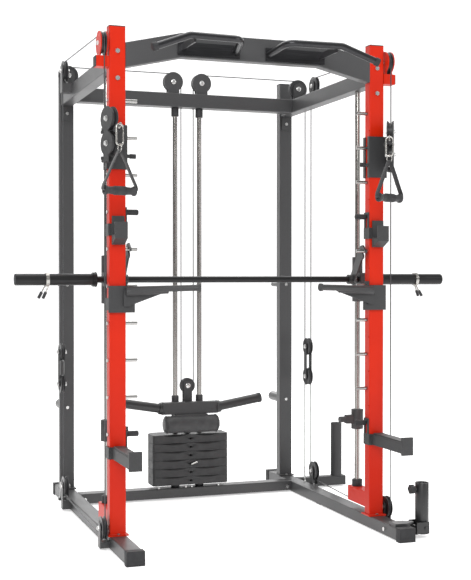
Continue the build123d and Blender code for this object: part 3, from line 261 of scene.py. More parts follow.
def weave_effect() -> bpy.types.NodeTree:
    """Returns the group for flat webbing, which follows the piece's own run and turn attributes."""

    def fill(t: Tree, given: bpy.types.Node) -> dict[str, bpy.types.NodeSocket]:
        """Makes the nodes and returns the outputs."""
        run = t.node("Attribute", attribute_name="run").outputs["Fac"]
        turn = t.node("Attribute", attribute_name="turn").outputs["Fac"]
        rows = t.math("SINE", t.math("MULTIPLY", run, given.outputs["Rows"]))
        ends = t.math("SINE", t.math("MULTIPLY", turn, given.outputs["Ends"]))
        bump = t.remap(t.math("MULTIPLY", rows, ends), -1.0, 1.0, 0.0, 1.0)
        # Painted shade: the weave's low points take the darker Shade colour and the raised yarn the lighter
        # Colour.
        colour = t.blend(bump, given.outputs["Shade"], given.outputs["Colour"])
        rough = t.remap(bump, 0.0, 1.0, 0.92, 0.74)
        return {"Colour": colour, "Roughness": rough, "Height": bump}

    return effect("webbing_weave", [("Colour", "Color", (0.03, 0.03, 0.03, 1)),
                                    ("Shade", "Color", (0.01, 0.01, 0.01, 1)),
                                    ("Rows", "Float", 4200.0), ("Ends", "Float", 140.0)],
                  [("Colour", "Color"), ("Roughness", "Float"), ("Height", "Float")], fill)


def shade(name: str, group: bpy.types.NodeTree, values: dict[str, object], bump: float, dust: float,
          fixed: dict[str, object]) -> bpy.types.Material:
    """Builds a material round one effect, with dust on its upward faces.

    Args:
        name: the material's name.
        group: the effect, with outputs Colour, Roughness and Height.
        values: the effect's inputs.
        bump: how deep its Height reads, in metres.
        dust: how much dust lies on it.
        fixed: constants for the shader's own sockets.

    Returns:
        The material.
    """
    found = bpy.data.materials.get(name)
    if found:
        return found
    made = bpy.data.materials.new(name)
    made.use_nodes = True
    t = Tree(made.node_tree)
    shader = made.node_tree.nodes["Principled BSDF"]
    for key, value in fixed.items():
        shader.inputs[key].default_value = value
    look = t.node("Group", node_tree=group)
    for key, value in values.items():
        look.inputs[key].default_value = value
    colour, rough = look.outputs["Colour"], look.outputs["Roughness"]
    if dust > 0:
        film = t.node("Group", node_tree=dust_effect())
        film.inputs["Amount"].default_value = dust
        colour = t.blend(film.outputs["Mask"], colour, (0.42, 0.40, 0.38, 1.0))
        rough = t.math("ADD", rough, t.math("MULTIPLY", film.outputs["Mask"], 0.3), True)
    made.node_tree.links.new(colour, shader.inputs["Base Color"])
    made.node_tree.links.new(rough, shader.inputs["Roughness"])
    relief = t.node("Bump", {"Height": look.outputs["Height"], "Strength": 0.6, "Distance": bump})
    made.node_tree.links.new(relief.outputs[0], shader.inputs["Normal"])
    return made


def rgb(red: float, green: float, blue: float) -> tuple[float, float, float, float]:
    """Returns the linear colour of display values from 0 to 255."""
    return tuple((v / 255 / 12.92) if v <= 10 else ((v / 255 + 0.055) / 1.055) ** 2.4
                 for v in (red, green, blue)) + (1.0,)


# ------------------------------------------------------------------ finishes
@dataclass(frozen=True)
class PowderCoat:
    """Baked powder coat on steel."""

    name: str
    colour: tuple
    shade: tuple
    fleck: tuple
    fleck_share: float = 0.12
    roughness: float = 0.42
    grain_scale: float = 900.0
    bump: float = 0.00012
    coat: float = 0.25
    dust: float = 0.05
    rub: float = 0.03
    specular: float = 0.5

    def material(self) -> bpy.types.Material:
        """Returns the finish as a material."""
        return shade(self.name, powder_effect(), {
            "Colour": self.colour, "Shade": self.shade, "Fleck Colour": self.fleck, "Fleck": self.fleck_share,
            "Rub": self.rub, "Roughness": self.roughness, "Grain Scale": self.grain_scale},
            self.bump, self.dust,
            {"Coat Weight": self.coat, "Coat Roughness": 0.22, "Specular IOR Level": self.specular})


@dataclass(frozen=True)
class BareMetal:
    """Plated, polished or blackened steel."""

    name: str
    colour: tuple
    shade: tuple
    roughness: float = 0.22
    along: Along = Along.NONE
    scale: float = 700.0
    metallic: float = 1.0
    bump: float = 0.00002
    coat: float = 0.0

    def material(self) -> bpy.types.Material:
        """Returns the finish as a material."""
        return shade(self.name, grain_effect(), {
            "Colour": self.colour, "Shade": self.shade, "Stretch": self.along.value, "Scale": self.scale,
            "Roughness": self.roughness}, self.bump, 0.0,
            {"Metallic": self.metallic, "Coat Weight": self.coat, "Coat Roughness": 0.15})


@dataclass(frozen=True)
class Skin:
    """Moulded plastic, rubber or embossed vinyl."""

    name: str
    colour: tuple
    shade: tuple
    scale: float = 700.0
    roughness: float = 0.55
    bump: float = 0.00015
    dust: float = 0.04
    sheen: float = 0.0
    coat: float = 0.0

    def material(self) -> bpy.types.Material:
        """Returns the finish as a material."""
        return shade(self.name, hide_effect(), {
            "Colour": self.colour, "Shade": self.shade, "Scale": self.scale, "Roughness": self.roughness},
            self.bump, self.dust, {"Sheen Weight": self.sheen, "Sheen Roughness": 0.4,
                                   "Coat Weight": self.coat,
                                   "Coat Roughness": 0.3, "Specular IOR Level": 0.45})


@dataclass(frozen=True)
class Webbing:
    """Woven flat strap."""

    name: str
    colour: tuple
    shade: tuple

    def material(self) -> bpy.types.Material:
        """Returns the finish as a material."""
        return shade(self.name, weave_effect(), {"Colour": self.colour, "Shade": self.shade}, 0.0004, 0.0,
                     {"Sheen Weight": 0.35, "Sheen Roughness": 0.5, "Specular IOR Level": 0.3})


RED = PowderCoat("red_powder_coat", rgb(192, 32, 0), rgb(178, 24, 0), rgb(206, 54, 8), 0.10, 0.42, coat=0.0,
                  specular=0.22, dust=0.03)
GRAPHITE = PowderCoat("graphite_powder_coat", rgb(46, 46, 47), rgb(38, 38, 39), rgb(82, 82, 84), 0.20, 0.48)
CHARCOAL = PowderCoat("charcoal_textured_coat", rgb(40, 40, 41), rgb(33, 33, 34), rgb(76, 76, 78), 0.28, 0.58,
                      600.0, 0.0003, 0.08)
BLACK = PowderCoat("black_satin_coat", rgb(27, 27, 28), rgb(21, 21, 22), rgb(54, 54, 56), 0.12, 0.40,
                   coat=0.2)
BEAM_DARK = PowderCoat("beam_powder_coat", rgb(54, 54, 55), rgb(46, 46, 47), rgb(90, 90, 92), 0.22, 0.48)
ROD_STEEL = BareMetal("guide_rod_chrome", rgb(160, 158, 155), rgb(146, 144, 141), 0.20, Along.Z,
                      bump=0.000003)
PEG_CHROME = BareMetal("peg_chrome", rgb(176, 175, 173), rgb(160, 159, 157), 0.16, Along.X, bump=0.000003)
ZINC = BareMetal("zinc_plate", rgb(222, 222, 220), rgb(176, 176, 176), 0.26, Along.NONE, 500.0)
HOOK_STEEL = BareMetal("snap_hook_nickel", rgb(196, 194, 190), rgb(140, 138, 134), 0.2)
BAR_BLACK = BareMetal("blackened_bar", rgb(34, 34, 35), rgb(24, 24, 25), 0.38, Along.X, 500.0, 0.7, coat=0.2)
GRIP_BLACK = BareMetal("gunmetal_grip", rgb(56, 56, 58), rgb(42, 42, 44), 0.30, Along.X, 500.0, 0.8,
                       coat=0.25)
IRON = Skin("cast_plate_black", rgb(46, 46, 47), rgb(37, 37, 38), 420.0, 0.50, 0.0002, 0.05)
RUBBER = Skin("black_rubber", rgb(40, 40, 42), rgb(30, 30, 32), 900.0, 0.66, 0.0001, 0.06)
NYLON = Skin("pulley_nylon", rgb(34, 34, 36), rgb(25, 25, 27), 1200.0, 0.38, 0.00006, 0.02, coat=0.15)
VINYL = Skin("pad_vinyl", rgb(52, 52, 53), rgb(40, 40, 41), 560.0, 0.50, 0.0003, 0.02, sheen=0.1, coat=0.1)
FOAM = Skin("grip_rubber", rgb(44, 44, 46), rgb(32, 32, 34), 800.0, 0.58, 0.0002, 0.0, sheen=0.15)
CABLE_SKIN = Skin("cable_jacket", rgb(58, 58, 60), rgb(44, 44, 46), 1500.0, 0.40, 0.00003, 0.0, coat=0.2)
STRAP = Webbing("black_webbing", rgb(44, 44, 46), rgb(22, 22, 24))
THREAD = Webbing("seam_thread", rgb(70, 70, 72), rgb(44, 44, 46))
Finish = PowderCoat | BareMetal | Skin | Webbing


# ------------------------------------------------------------------ mesh work
def dress(node: str, finish: Finish, soften: float = 0.0) -> None:
    """Gives a CAD node its finish.

    Args:
        node: the node's name.
        finish: its finish.
        soften: width of the rounding shown on its sharp edges, in metres; 0 leaves them sharp.
    """
    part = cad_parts[node]
    part.data.materials.clear()
    part.data.materials.append(finish.material())
    if soften > 0:
        weld = part.modifiers.new("weld", "WELD")
        weld.merge_threshold = 0.00002
        edge = part.modifiers.new("edge", "BEVEL")
        edge.width, edge.segments = soften, 2
        edge.limit_method, edge.angle_limit = "ANGLE", math.radians(50)
        edge.harden_normals = True
        edge.use_clamp_overlap = True
    LOG.info("%s: %s", node, finish.name)


def eased(bm: bmesh.types.BMesh, edges: list[bmesh.types.BMEdge], width: float, steps: int) -> None:
    """Rounds some of a mesh's edges.

    Args:
        bm: the mesh.
        edges: the edges.
        width: how far the rounding reaches from the edge.
        steps: its number of facets.
    """
    bmesh.ops.bevel(bm, geom=edges, offset=width, offset_type="OFFSET", affect="EDGES", segments=steps,
                    profile=0.5, material=-1)


def placed(bm: bmesh.types.BMesh, matrix: Matrix) -> None:
    """Moves a whole mesh to its place.

    Args:
        bm: the mesh.
        matrix: where it goes.
    """
    bmesh.ops.transform(bm, matrix=matrix, verts=bm.verts[:])


def piece(name: str, bm: bmesh.types.BMesh, finish: Finish, body: str | None,
          smooth: float = 40.0) -> bpy.types.Object:
    """Makes a bmesh an object of the scene, with its finish, riding on a body.

    Args:
        name: the piece's name.
        bm: its mesh, in place; it is freed.
        finish: its finish.
        body: the CAD body it rides on, or None for a piece that bends between two.
        smooth: faces meeting flatter than this many degrees are shaded smooth.

    Returns:
        The object.
    """
    for edge in bm.edges:
        edge.smooth = edge.is_manifold and edge.calc_face_angle(0.0) < math.radians(smooth)
    for face in bm.faces:
        face.smooth = True
    mesh = bpy.data.meshes.new(name)
    bm.to_mesh(mesh)
    bm.free()
    made = bpy.data.objects.new(name, mesh)
    bpy.context.scene.collection.objects.link(made)
    mesh.materials.append(finish.material())
    if body:
        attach(made, body)
    LOG.info("%s: %d faces on %s", name, len(mesh.polygons), body)
    return made


def outward(bm: bmesh.types.BMesh) -> bmesh.types.BMesh:
    """Closes doubles, turns the faces outward and returns the mesh."""
    bmesh.ops.remove_doubles(bm, verts=bm.verts[:], dist=1e-6)
    bmesh.ops.recalc_face_normals(bm, faces=bm.faces[:])
    return bm


def aimed(at: Point, axis: Point) -> Matrix:
    """Returns the matrix that carries +Z at the origin to axis at a point."""
    turn = Vector((0, 0, 1)).rotation_difference(Vector(axis).normalized())
    return Matrix.Translation(Vector(at)) @ turn.to_matrix().to_4x4()


def turned(profile: Sequence[tuple[float, float]], steps: int = 32) -> bmesh.types.BMesh:
    """Spins a profile about +Z.

    Args:
        profile: radius and height of each point, from one end to the other.
        steps: how many flats go round.

    Returns:
        The closed mesh.
    """
    bm = bmesh.new()
    last = None
    for radius, height in profile:
        vert = bm.verts.new((radius, 0.0, height))
        if last:
            bm.edges.new((last, vert))
        last = vert
    bmesh.ops.spin(bm, geom=bm.verts[:] + bm.edges[:], cent=(0, 0, 0), axis=(0, 0, 1),
                   angle=math.tau, steps=steps,
                   use_merge=True, use_duplicate=False)
    return outward(bm)


def hexed(across: float, height: float, crown: float = 0.0012) -> bmesh.types.BMesh:
    """Makes a hexagon head standing on the origin, with its top corners turned down.

    Args:
        across: distance over its corners.
        height: its height.
        crown: how far the top edge is cut.

    Returns:
        The closed mesh.
    """
    bm = bmesh.new()
    bmesh.ops.create_cone(bm, cap_ends=True, segments=6, radius1=across / 2, radius2=across / 2, depth=height)
    bmesh.ops.translate(bm, verts=bm.verts[:], vec=(0, 0, height / 2))
    top = [e for e in bm.edges if all(v.co.z > height - 1e-6 for v in e.verts)]
    eased(bm, top, crown, 2)
    return outward(bm)


def merged(into: bmesh.types.BMesh, part: bmesh.types.BMesh, place: Matrix | None = None) -> None:
    """Adds part to into, moved by place, and frees it."""
    if place is not None:
        bmesh.ops.transform(part, matrix=place, verts=part.verts[:])
    mesh = bpy.data.meshes.new("joining")
    part.to_mesh(mesh)
    part.free()
    into.from_mesh(mesh)
    bpy.data.meshes.remove(mesh)


def swept(path: Sequence[Point], section: Sequence[tuple[float, float]], closed: bool = False,
          up: Point = (0, 1, 0)) -> bmesh.types.BMesh:
    """Carries a flat section along a path, and marks how far along and how far round each vertex is.

    Args:
        path: the points it follows.
        section: its outline, across and along up.
        closed: joins the last point to the first.
        up: the direction that the section's second number follows.

    Returns:
        The closed mesh, with float layers run and turn.
    """
    bm = bmesh.new()
    run, turn = bm.verts.layers.float.new("run"), bm.verts.layers.float.new("turn")
    points = [Vector(p) for p in path]
    count, length = len(points), 0.0

    def place(i: int) -> Matrix:
        """Returns the section's matrix at point i."""
        before = points[i - 1] if (i or closed) else points[i]
        after = points[(i + 1) % count] if (i + 1 < count or closed) else points[i]
        ahead = (after - before).normalized()
        upright = (Vector(up) - ahead * ahead.dot(Vector(up))).normalized()
        side = upright.cross(ahead)
        into = max(0.5, ahead.dot((after - points[i]).normalized()) if after != points[i] else 1.0)
        basis = Matrix((side / into, upright, ahead)).transposed()
        return Matrix.Translation(points[i]) @ basis.to_4x4()

    first = [bm.verts.new(place(0) @ Vector((a, b, 0.0))) for a, b in section]
    ring = [bm.edges.new((first[k], first[(k + 1) % len(first)])) for k in range(len(first))]
    for k, vert in enumerate(first):
        vert[turn] = k / len(first)
    here, loops = first, [first]
    for i in range(1, count):
        length += (points[i] - points[i - 1]).length
        made = bmesh.ops.extrude_edge_only(bm, edges=ring)["geom"]
        ring = [g for g in made if isinstance(g, bmesh.types.BMEdge)]
        fresh = {g for g in made if isinstance(g, bmesh.types.BMVert)}
        moved = []
        for k, vert in enumerate(here):
            twin = next(e.other_vert(vert) for e in vert.link_edges if e.other_vert(vert) in fresh)
            twin.co = place(i) @ Vector((section[k][0], section[k][1], 0.0))
            twin[run], twin[turn] = length, k / len(section)
            moved.append(twin)
        ring = [bm.edges.get((moved[k], moved[(k + 1) % len(moved)])) for k in range(len(moved))]
        here = moved
        loops.append(moved)
    if closed:
        start = [bm.edges.get((first[k], first[(k + 1) % len(first)])) for k in range(len(first))]
        bmesh.ops.bridge_loops(bm, edges=start + ring)
    else:
        bm.faces.new(loops[0])
        bm.faces.new(list(reversed(loops[-1])))
    return outward(bm)


def round_section(radius: float, steps: int = 12) -> list[tuple[float, float]]:
    """Returns a round outline."""
    return [(radius * math.cos(math.tau * k / steps), radius * math.sin(math.tau * k / steps))
            for k in range(steps)]


def flat_section(thick: float, wide: float) -> list[tuple[float, float]]:
    """Returns the outline of a flat strap with eased edges."""
    a, b = thick / 2, wide / 2
    return [(-a, -b + a), (-a * 0.5, -b), (a * 0.5, -b), (a, -b + a), (a, 0.0), (a, b - a), (a * 0.5, b),
            (-a * 0.5, b), (-a, b - a), (-a, 0.0)]


def arc(centre: Point, radius: float, start: float, end: float, steps: int,
        plane: str = "xz") -> list[Vector]:
    """Returns points of an arc, angles in degrees from the plane's first axis."""
    found = []
    for k in range(steps + 1):
        a = math.radians(start + (end - start) * k / steps)
        u, w = radius * math.cos(a), radius * math.sin(a)
        found.append(Vector(centre) + (Vector((u, 0, w)) if plane == "xz" else Vector((0, u, w))))
    return found


# ------------------------------------------------------------------ the studio
@dataclass
class Studio:
    """Pale floor, soft lights and the camera."""

    eye: Point = (-1.707, -5.105, 1.143)
    heading: float = 0.340
    dip: float = -0.012
    lens: float = 70.0

    def camera(self) -> None:
        """Sets up the camera."""
        data = bpy.data.cameras.new("camera")
        data.sensor_width, data.sensor_fit, data.lens = 36.0, "AUTO", self.lens
        data.clip_start, data.clip_end = 0.05, 200.0
        made = bpy.data.objects.new("camera", data)
        bpy.context.scene.collection.objects.link(made)
        made.location = self.eye
        made.rotation_euler = (math.pi / 2 + self.dip, 0.0, -self.heading)
        bpy.context.scene.camera = made

    def floor(self) -> None:
        """Lays a pale floor that rises into a backdrop behind the cage."""
        bm = bmesh.new()
        profile = [(0.0, -30.0, 0.0), (0.0, 9.0, 0.0)]
        profile += [tuple(p) for p in arc((0, 9.0, 3.0), 3.0, -84.0, 0.0, 12, "yz")] + [(0.0, 12.0, 20.0)]
        last = None
        for x, y, z in profile:
            vert = bm.verts.new((x - 30.0, y, z - 0.0005))
            if last:
                bm.edges.new((last, vert))
            last = vert
        made = bmesh.ops.extrude_edge_only(bm, edges=bm.edges[:])["geom"]
        bmesh.ops.translate(bm, verts=[g for g in made if isinstance(g, bmesh.types.BMVert)], vec=(60, 0, 0))
        for face in bm.faces:
            face.smooth = True
        mesh = bpy.data.meshes.new("studio_floor")
        bm.to_mesh(mesh)
        bm.free()
        paper = bpy.data.materials.new("studio_paper")
        paper.use_nodes = True
        shader = paper.node_tree.nodes["Principled BSDF"]
        shader.inputs["Base Color"].default_value = (0.93, 0.93, 0.93, 1.0)
        shader.inputs["Roughness"].default_value = 0.9
        shader.inputs["Specular IOR Level"].default_value = 0.1
        shader.inputs["Emission Color"].default_value = (1.0, 1.0, 1.0, 1.0)
        shader.inputs["Emission Strength"].default_value = 0.45
        mesh.materials.append(paper)
        made = bpy.data.objects.new("studio_floor", mesh)
        bpy.context.scene.collection.objects.link(made)

    def lamp(self, name: str, at: Point, to: Point, size: tuple[float, float], power: float) -> None:
        """Hangs one soft box.

        Args:
            name: its name.
            at: where it hangs.
            to: the point it faces.
            size: its width and height.
            power: its watts.
        """
        data = bpy.data.lights.new(name, "AREA")
        data.shape, data.size, data.size_y, data.energy = "RECTANGLE", size[0], size[1], power
        made = bpy.data.objects.new(name, data)
        bpy.context.scene.collection.objects.link(made)
        made.location = at
        made.rotation_euler = (Vector(to) - Vector(at)).to_track_quat("-Z", "Y").to_euler()

    def world(self) -> None:
        """Fills the room with even light, darker low down and between the soft boxes."""
        made = bpy.data.worlds.new("studio_room")
        bpy.context.scene.world = made
        made.use_nodes = True
        t = Tree(made.node_tree)
        back = made.node_tree.nodes["Background"]
        way = t.node("TexCoord").outputs["Generated"]
        split = t.node("SeparateXYZ", {0: way})
        round_the_room = t.math("ARCTAN2", split.outputs["Y"], split.outputs["X"])
        bands = t.math("SINE", t.math("MULTIPLY", round_the_room, 3.0))
        walls = t.remap(bands, -0.6, 0.6, 0.06, 0.50)
        top = t.remap(split.outputs["Z"], 0.1, 0.7, 0.0, 1.0)
        level = t.math("MULTIPLY", walls, t.math("SUBTRACT", 1.0, top))
        level = t.math("ADD", level, t.math("MULTIPLY", top, 0.6))
        seen = t.node("LightPath").outputs["Is Camera Ray"]
        level = t.math("ADD", t.math("MULTIPLY", level, t.math("SUBTRACT", 1.0, seen)), seen)
        made.node_tree.links.new(level, back.inputs["Strength"])
        back.inputs["Color"].default_value = (1.0, 1.0, 1.0, 1.0)

    def build(self) -> None:
        """Builds the whole studio."""
        self.camera()
        self.floor()
        self.world()
        self.lamp("key_box", (-3.0, -5.6, 4.2), (0, 0, 1.0), (3.0, 3.0), 260.0)
        self.lamp("fill_box", (5.0, -4.0, 3.0), (0, 0, 1.0), (2.5, 4.0), 95.0)
        self.lamp("top_box", (0.0, 0.5, 5.5), (0, 0, 0), (5.0, 5.0), 170.0)
        self.lamp("back_box", (1.5, 5.5, 3.5), (0, 0, 1.4), (4.0, 2.0), 80.0)
        bpy.context.scene.view_settings.view_transform = "Standard"
        bpy.context.scene.view_settings.look = "None"


# ------------------------------------------------------------------ the cage
@dataclass
class CageFrame:
    """The welded and bolted frame."""

    bend_x: float = 0.319
    bend_z: float = 2.127
    beam_half: float = 0.052
    front: float = -0.500
    bead: float = 0.0016
    flange_top: float = 0.063
    upright: tuple[float, float, float, float] = (0.600, 0.035, -0.475, 0.025)

    def dress(self) -> None:
        """Gives the frame's nodes their finishes."""
        dress("front_uprights", RED)
        dress("red_brackets", RED, 0.0006)
        for node in ("base_frame", "rear_uprights", "top_frame"):
            dress(node, GRAPHITE)
        dress("pull_up_beam", BEAM_DARK)
        dress("frame_brackets", GRAPHITE, 0.0006)
        dress("barbell_post", CHARCOAL)
        dress("storage_pegs", BLACK)
        dress("rubber_parts", RUBBER, 0.0008)

    def weld_lines(self) -> None:
        """Lays the weld beads where the beam was mitred and where the uprights stand on their flanges."""
        bm = bmesh.new()
        for s in (-1.0, 1.0):
            x, low, high = s * self.bend_x, self.bend_z - self.beam_half, self.bend_z + self.beam_half
            path = [(x, self.front - 0.0004, low + 0.003), (x, self.front - 0.0004, (low + high) / 2),
                    (x, self.front - 0.0004, high - 0.003)]
            merged(bm, swept(path, round_section(self.bead, 8), up=(1, 0, 0)))
        piece("beam_weld_lines", bm, BEAM_DARK, "frame")
        for name, y, finish, slot in (("front_foot_welds", self.upright[2], RED, Slot.RED),
                                      ("rear_foot_welds", 0.620, GRAPHITE, Slot.GRAPHITE)):
            bm = bmesh.new()
            for s in (-1.0, 1.0):
                cx, hx, hy = s * self.upright[0], self.upright[1], self.upright[3]
                loop = [(cx - hx, y - hy, self.flange_top), (cx + hx, y - hy, self.flange_top),
                        (cx + hx, y + hy, self.flange_top), (cx - hx, y + hy, self.flange_top)]
                merged(bm, swept(self.eased(loop), round_section(0.0026, 8), True, (0, 0, 1)))
            piece(name, bm, finish, "frame")

    def eased(self, corners: Sequence[Point], cut: float = 0.004) -> list[Vector]:
        """Returns a loop with each corner replaced by two points."""
        found, count = [], len(corners)
        for i in range(count):
            here, before, after = Vector(corners[i]), Vector(corners[i - 1]), Vector(corners[(i + 1) % count])
            found.append(here + (before - here).normalized() * cut)
            found.append(here + (after - here).normalized() * cut)
        return found

    def build(self) -> None:
        """Dresses the frame and lays its welds."""
        self.dress()
        self.weld_lines()


@dataclass
class Hardware:
    """Bolts, nuts, catch pegs and the bolts through every pulley."""

    cable_x: float = 0.660
    boss: float = 0.016
    cheek: float = 0.016
    wheel_bolts: list[tuple[str, str, Point]] = field(default_factory=lambda: [
        ("frame", "x", (0.660, -0.478, 2.115)),
        ("frame", "x", (0.660, 0.347, 2.140)),
        ("frame", "x", (0.660, -0.478, 0.090)),
        ("frame", "x", (0.660, 0.347, 0.120)),
        ("frame", "y", (0.617, 0.470, 2.140)),
        ("frame", "y", (0.076, 0.470, 2.140)),
        ("blocks", "x", (0.660, 0.430, 0.770)),
        ("blocks", "x", (0.660, 0.430, 0.612))])

    def nut(self) -> bmesh.types.BMesh:
        """Returns a lock nut over a boss: hexagon, nylon collar and the bolt's end."""
        bm = hexed(0.0218, 0.0055)
        merged(bm, turned([(0.0, 0.0), (0.0075, 0.0), (0.0075, 0.0078), (0.0062, 0.0088), (0.0048, 0.0088),
                           (0.0048, 0.0098), (0.0, 0.0098)], 20))
        return bm

    def head(self) -> bmesh.types.BMesh:
        """Returns a flanged bolt head over a boss."""
        bm = hexed(0.0216, 0.0078)
        merged(bm, turned([(0.0, 0.0), (0.0125, 0.0), (0.0125, 0.0010), (0.0105, 0.0022), (0.0, 0.0022)], 28))
        return bm

    def wheel_hardware(self) -> None:
        """Puts a bolt through each fixed and floating pulley."""
        for body in ("frame", "blocks"):
            bm = bmesh.new()
            for owner, axis, centre in self.wheel_bolts:
                if owner != body:
                    continue
                for s in (-1.0, 1.0):
                    c = Vector((s * centre[0], centre[1], centre[2]))
                    for k, maker in ((-1.0, self.head), (1.0, self.nut)):
                        way = Vector((k * s, 0, 0)) if axis == "x" else Vector((0, k, 0))
                        merged(bm, maker(), aimed(c + way * self.cheek, way))
            piece(f"{body}_pulley_bolts", bm, ZINC, body)
        bm = bmesh.new()
        for k, maker in ((-1.0, self.head), (1.0, self.nut)):
            merged(bm, maker(), aimed((0, 0.470 + k * self.boss, 0.580), (0, k, 0)))
        piece("stack_pulley_bolt", bm, ZINC, "stack")

    def build(self) -> None:
        """Dresses the small steel parts and adds the pulley bolts."""
        dress("frame_bolts", ZINC, 0.0006)
        dress("catch_pegs", PEG_CHROME)
        dress("guide_rods", ROD_STEEL)
        self.wheel_hardware()


@dataclass
class PullUpStation:
    """The bent grips on the front of the top beam."""

    end: Point = (0.498, -0.711, 2.067)
    inner: Point = (0.341, -0.690, 2.129)

    def build(self) -> None:
        """Dresses the grips and caps their ends."""
        dress("pull_up_bars", GRIP_BLACK)
        bm = bmesh.new()
        for s in (-1.0, 1.0):
            tip = Vector((s * self.end[0], self.end[1], self.end[2]))
            way = (tip - Vector((s * self.inner[0], self.inner[1], self.inner[2]))).normalized()
            cap = turned([(0.0, -0.012), (0.0178, -0.012), (0.0182, -0.010), (0.0182, 0.005),
                          (0.0168, 0.0078), (0.0120, 0.0090), (0.0, 0.0094)], 28)
            merged(bm, cap, aimed(tip, way))
        piece("pull_up_end_caps", bm, RUBBER, "frame")


# ------------------------------------------------------------------ cables
@dataclass
class CableRun:
    """The coated wire rope, its pulleys and the strands that change length."""

    radius: float = 0.0025
    stack_x: float = 0.033
    cable_x: float = 0.660
    back_y: float = 0.470
    near_y: float = 0.390
    top_z: float = 2.140
    stack_z: float = 0.580
    upper_z: float = 0.770
    lower_z: float = 0.612
    floor_z: float = 0.120

    def strand(self, name: str, points: Iterable[tuple[float, float]], z_frame: float,
               z_moving: float,
               node: str | None) -> None:
        """Makes a pair of straight strands that stretch between the frame and a moving body.

        Args:
            name: the piece's name.
            points: x and y of each strand on the right; the left ones mirror them.
            z_frame: height of the end held by the frame.
            z_moving: height of the end that moves.
            node: the CAD node it replaces.
        """
        bm = bmesh.new()
        for x, y in points:
            for s in (-1.0, 1.0):
                path = [(s * x, y, z_frame), (s * x, y, z_moving)]
                merged(bm, swept(path, round_section(self.radius, 12)))
        made = piece(name, bm, CABLE_SKIN, None)
        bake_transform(made)
        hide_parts(node)

    def build(self) -> None:
        """Dresses the fixed runs and pulleys and makes the moving strands."""
        dress("fixed_cables", CABLE_SKIN)
        wheels = ["stack_pulley"]
        wheels += [f"{place}_pulleys" for place in ("top_front", "top_rear", "low_front", "low_rear",
                                                    "block_upper", "block_lower")]
        wheels += [f"{side}_{place}" for side, _ in SIDES
                   for place in ("corner_pulley", "centre_pulley", "arm_pulley_upper", "arm_pulley_lower")]
        for wheel in wheels:
            dress(wheel, NYLON)
        dress("block_frames", CHARCOAL)
        self.strand("stack_strand_pair", [(self.stack_x, self.back_y)], self.top_z, self.stack_z,
                    "stack_strands")
        pair = [(self.cable_x, self.back_y), (self.cable_x, self.near_y)]
        self.strand("block_upper_strand_pairs", pair, self.top_z, self.upper_z,
                    "block_upper_strands")
        self.strand("block_lower_strand_pairs", pair, self.floor_z, self.lower_z,
                    "block_lower_strands")


# ------------------------------------------------------------------ smith machine
@dataclass
class SmithMachine:
    """Bar, sleeves, carriages, hooks and lower stops."""

    axis: tuple[float, float] = (-0.360, 1.130)
    sleeve_end: float = 1.005
    clip_x: float = 0.871

    def sleeve_caps(self) -> None:
        """Closes the sleeve ends with pressed plastic caps."""
        bm = bmesh.new()
        for s in (-1.0, 1.0):
            cap = turned([(0.0, -0.004), (0.0236, -0.004), (0.0236, 0.0004), (0.0225, 0.0022),
                          (0.0130, 0.0030), (0.0, 0.0018)], 32)
            merged(bm, cap, aimed((s * self.sleeve_end, self.axis[0], self.axis[1]), (s, 0, 0)))
        piece("sleeve_end_caps", bm, RUBBER, "smith_bar")

    def clip_grips(self) -> None:
        """Slides a ribbed sleeve on each handle of the spring clips."""
        bm = bmesh.new()
        for s in (-1.0, 1.0):
            for dy, dx in ((-0.014, -0.005), (0.014, 0.005)):
                p = Vector((s * (self.clip_x + dx), self.axis[0] + dy, self.axis[1] - 0.024))
                q = Vector((s * (self.clip_x + dx + 0.026), self.axis[0] + dy * 1.9, self.axis[1] - 0.077))
                long = (q - p).length * 0.45
                ribs = [(0.0, -0.0005), (0.0064, -0.0005)]
                for k in range(5):
                    z = long * (k + 0.5) / 5
                    ribs += [(0.0068, z - 0.0012), (0.0062, z), (0.0068, z + 0.0012)]
                ribs += [(0.0064, long + 0.001), (0.0050, long + 0.0024), (0.0, long + 0.003)]
                merged(bm, turned(ribs, 20), aimed(p + (q - p) * 0.55, q - p))
        piece("clip_grips", bm, FOAM, "smith_bar")

    def bar_rings(self) -> None:
        """Turns the shoulder rings on the bar, two on each side."""
        bm = bmesh.new()
        for s in (-1.0, 1.0):
            for x, r in ((0.660, 0.0325), (0.676, 0.0270)):
                ring = turned([(0.0242, 0.0), (r - 0.001, 0.0), (r, 0.001), (r, 0.004), (r - 0.001, 0.005),
                               (0.0242, 0.005), (0.0242, 0.0)], 36)
                merged(bm, ring, aimed((s * (x + 0.001), self.axis[0], self.axis[1]), (s, 0, 0)))
        piece("sleeve_shoulder_rings", bm, BAR_BLACK, "smith_bar")

    def build(self) -> None:
        """Dresses the smith machine and adds its small parts."""
        dress("smith_carriages", CHARCOAL, 0.0008)
        dress("smith_bar", BAR_BLACK)
        dress("bar_sleeves", BAR_BLACK)
        dress("smith_hooks", BLACK, 0.0006)
        dress("smith_stops", CHARCOAL, 0.0008)
        dress("spring_collars", HOOK_STEEL)
        self.sleeve_caps()
        self.clip_grips()
        self.bar_rings()


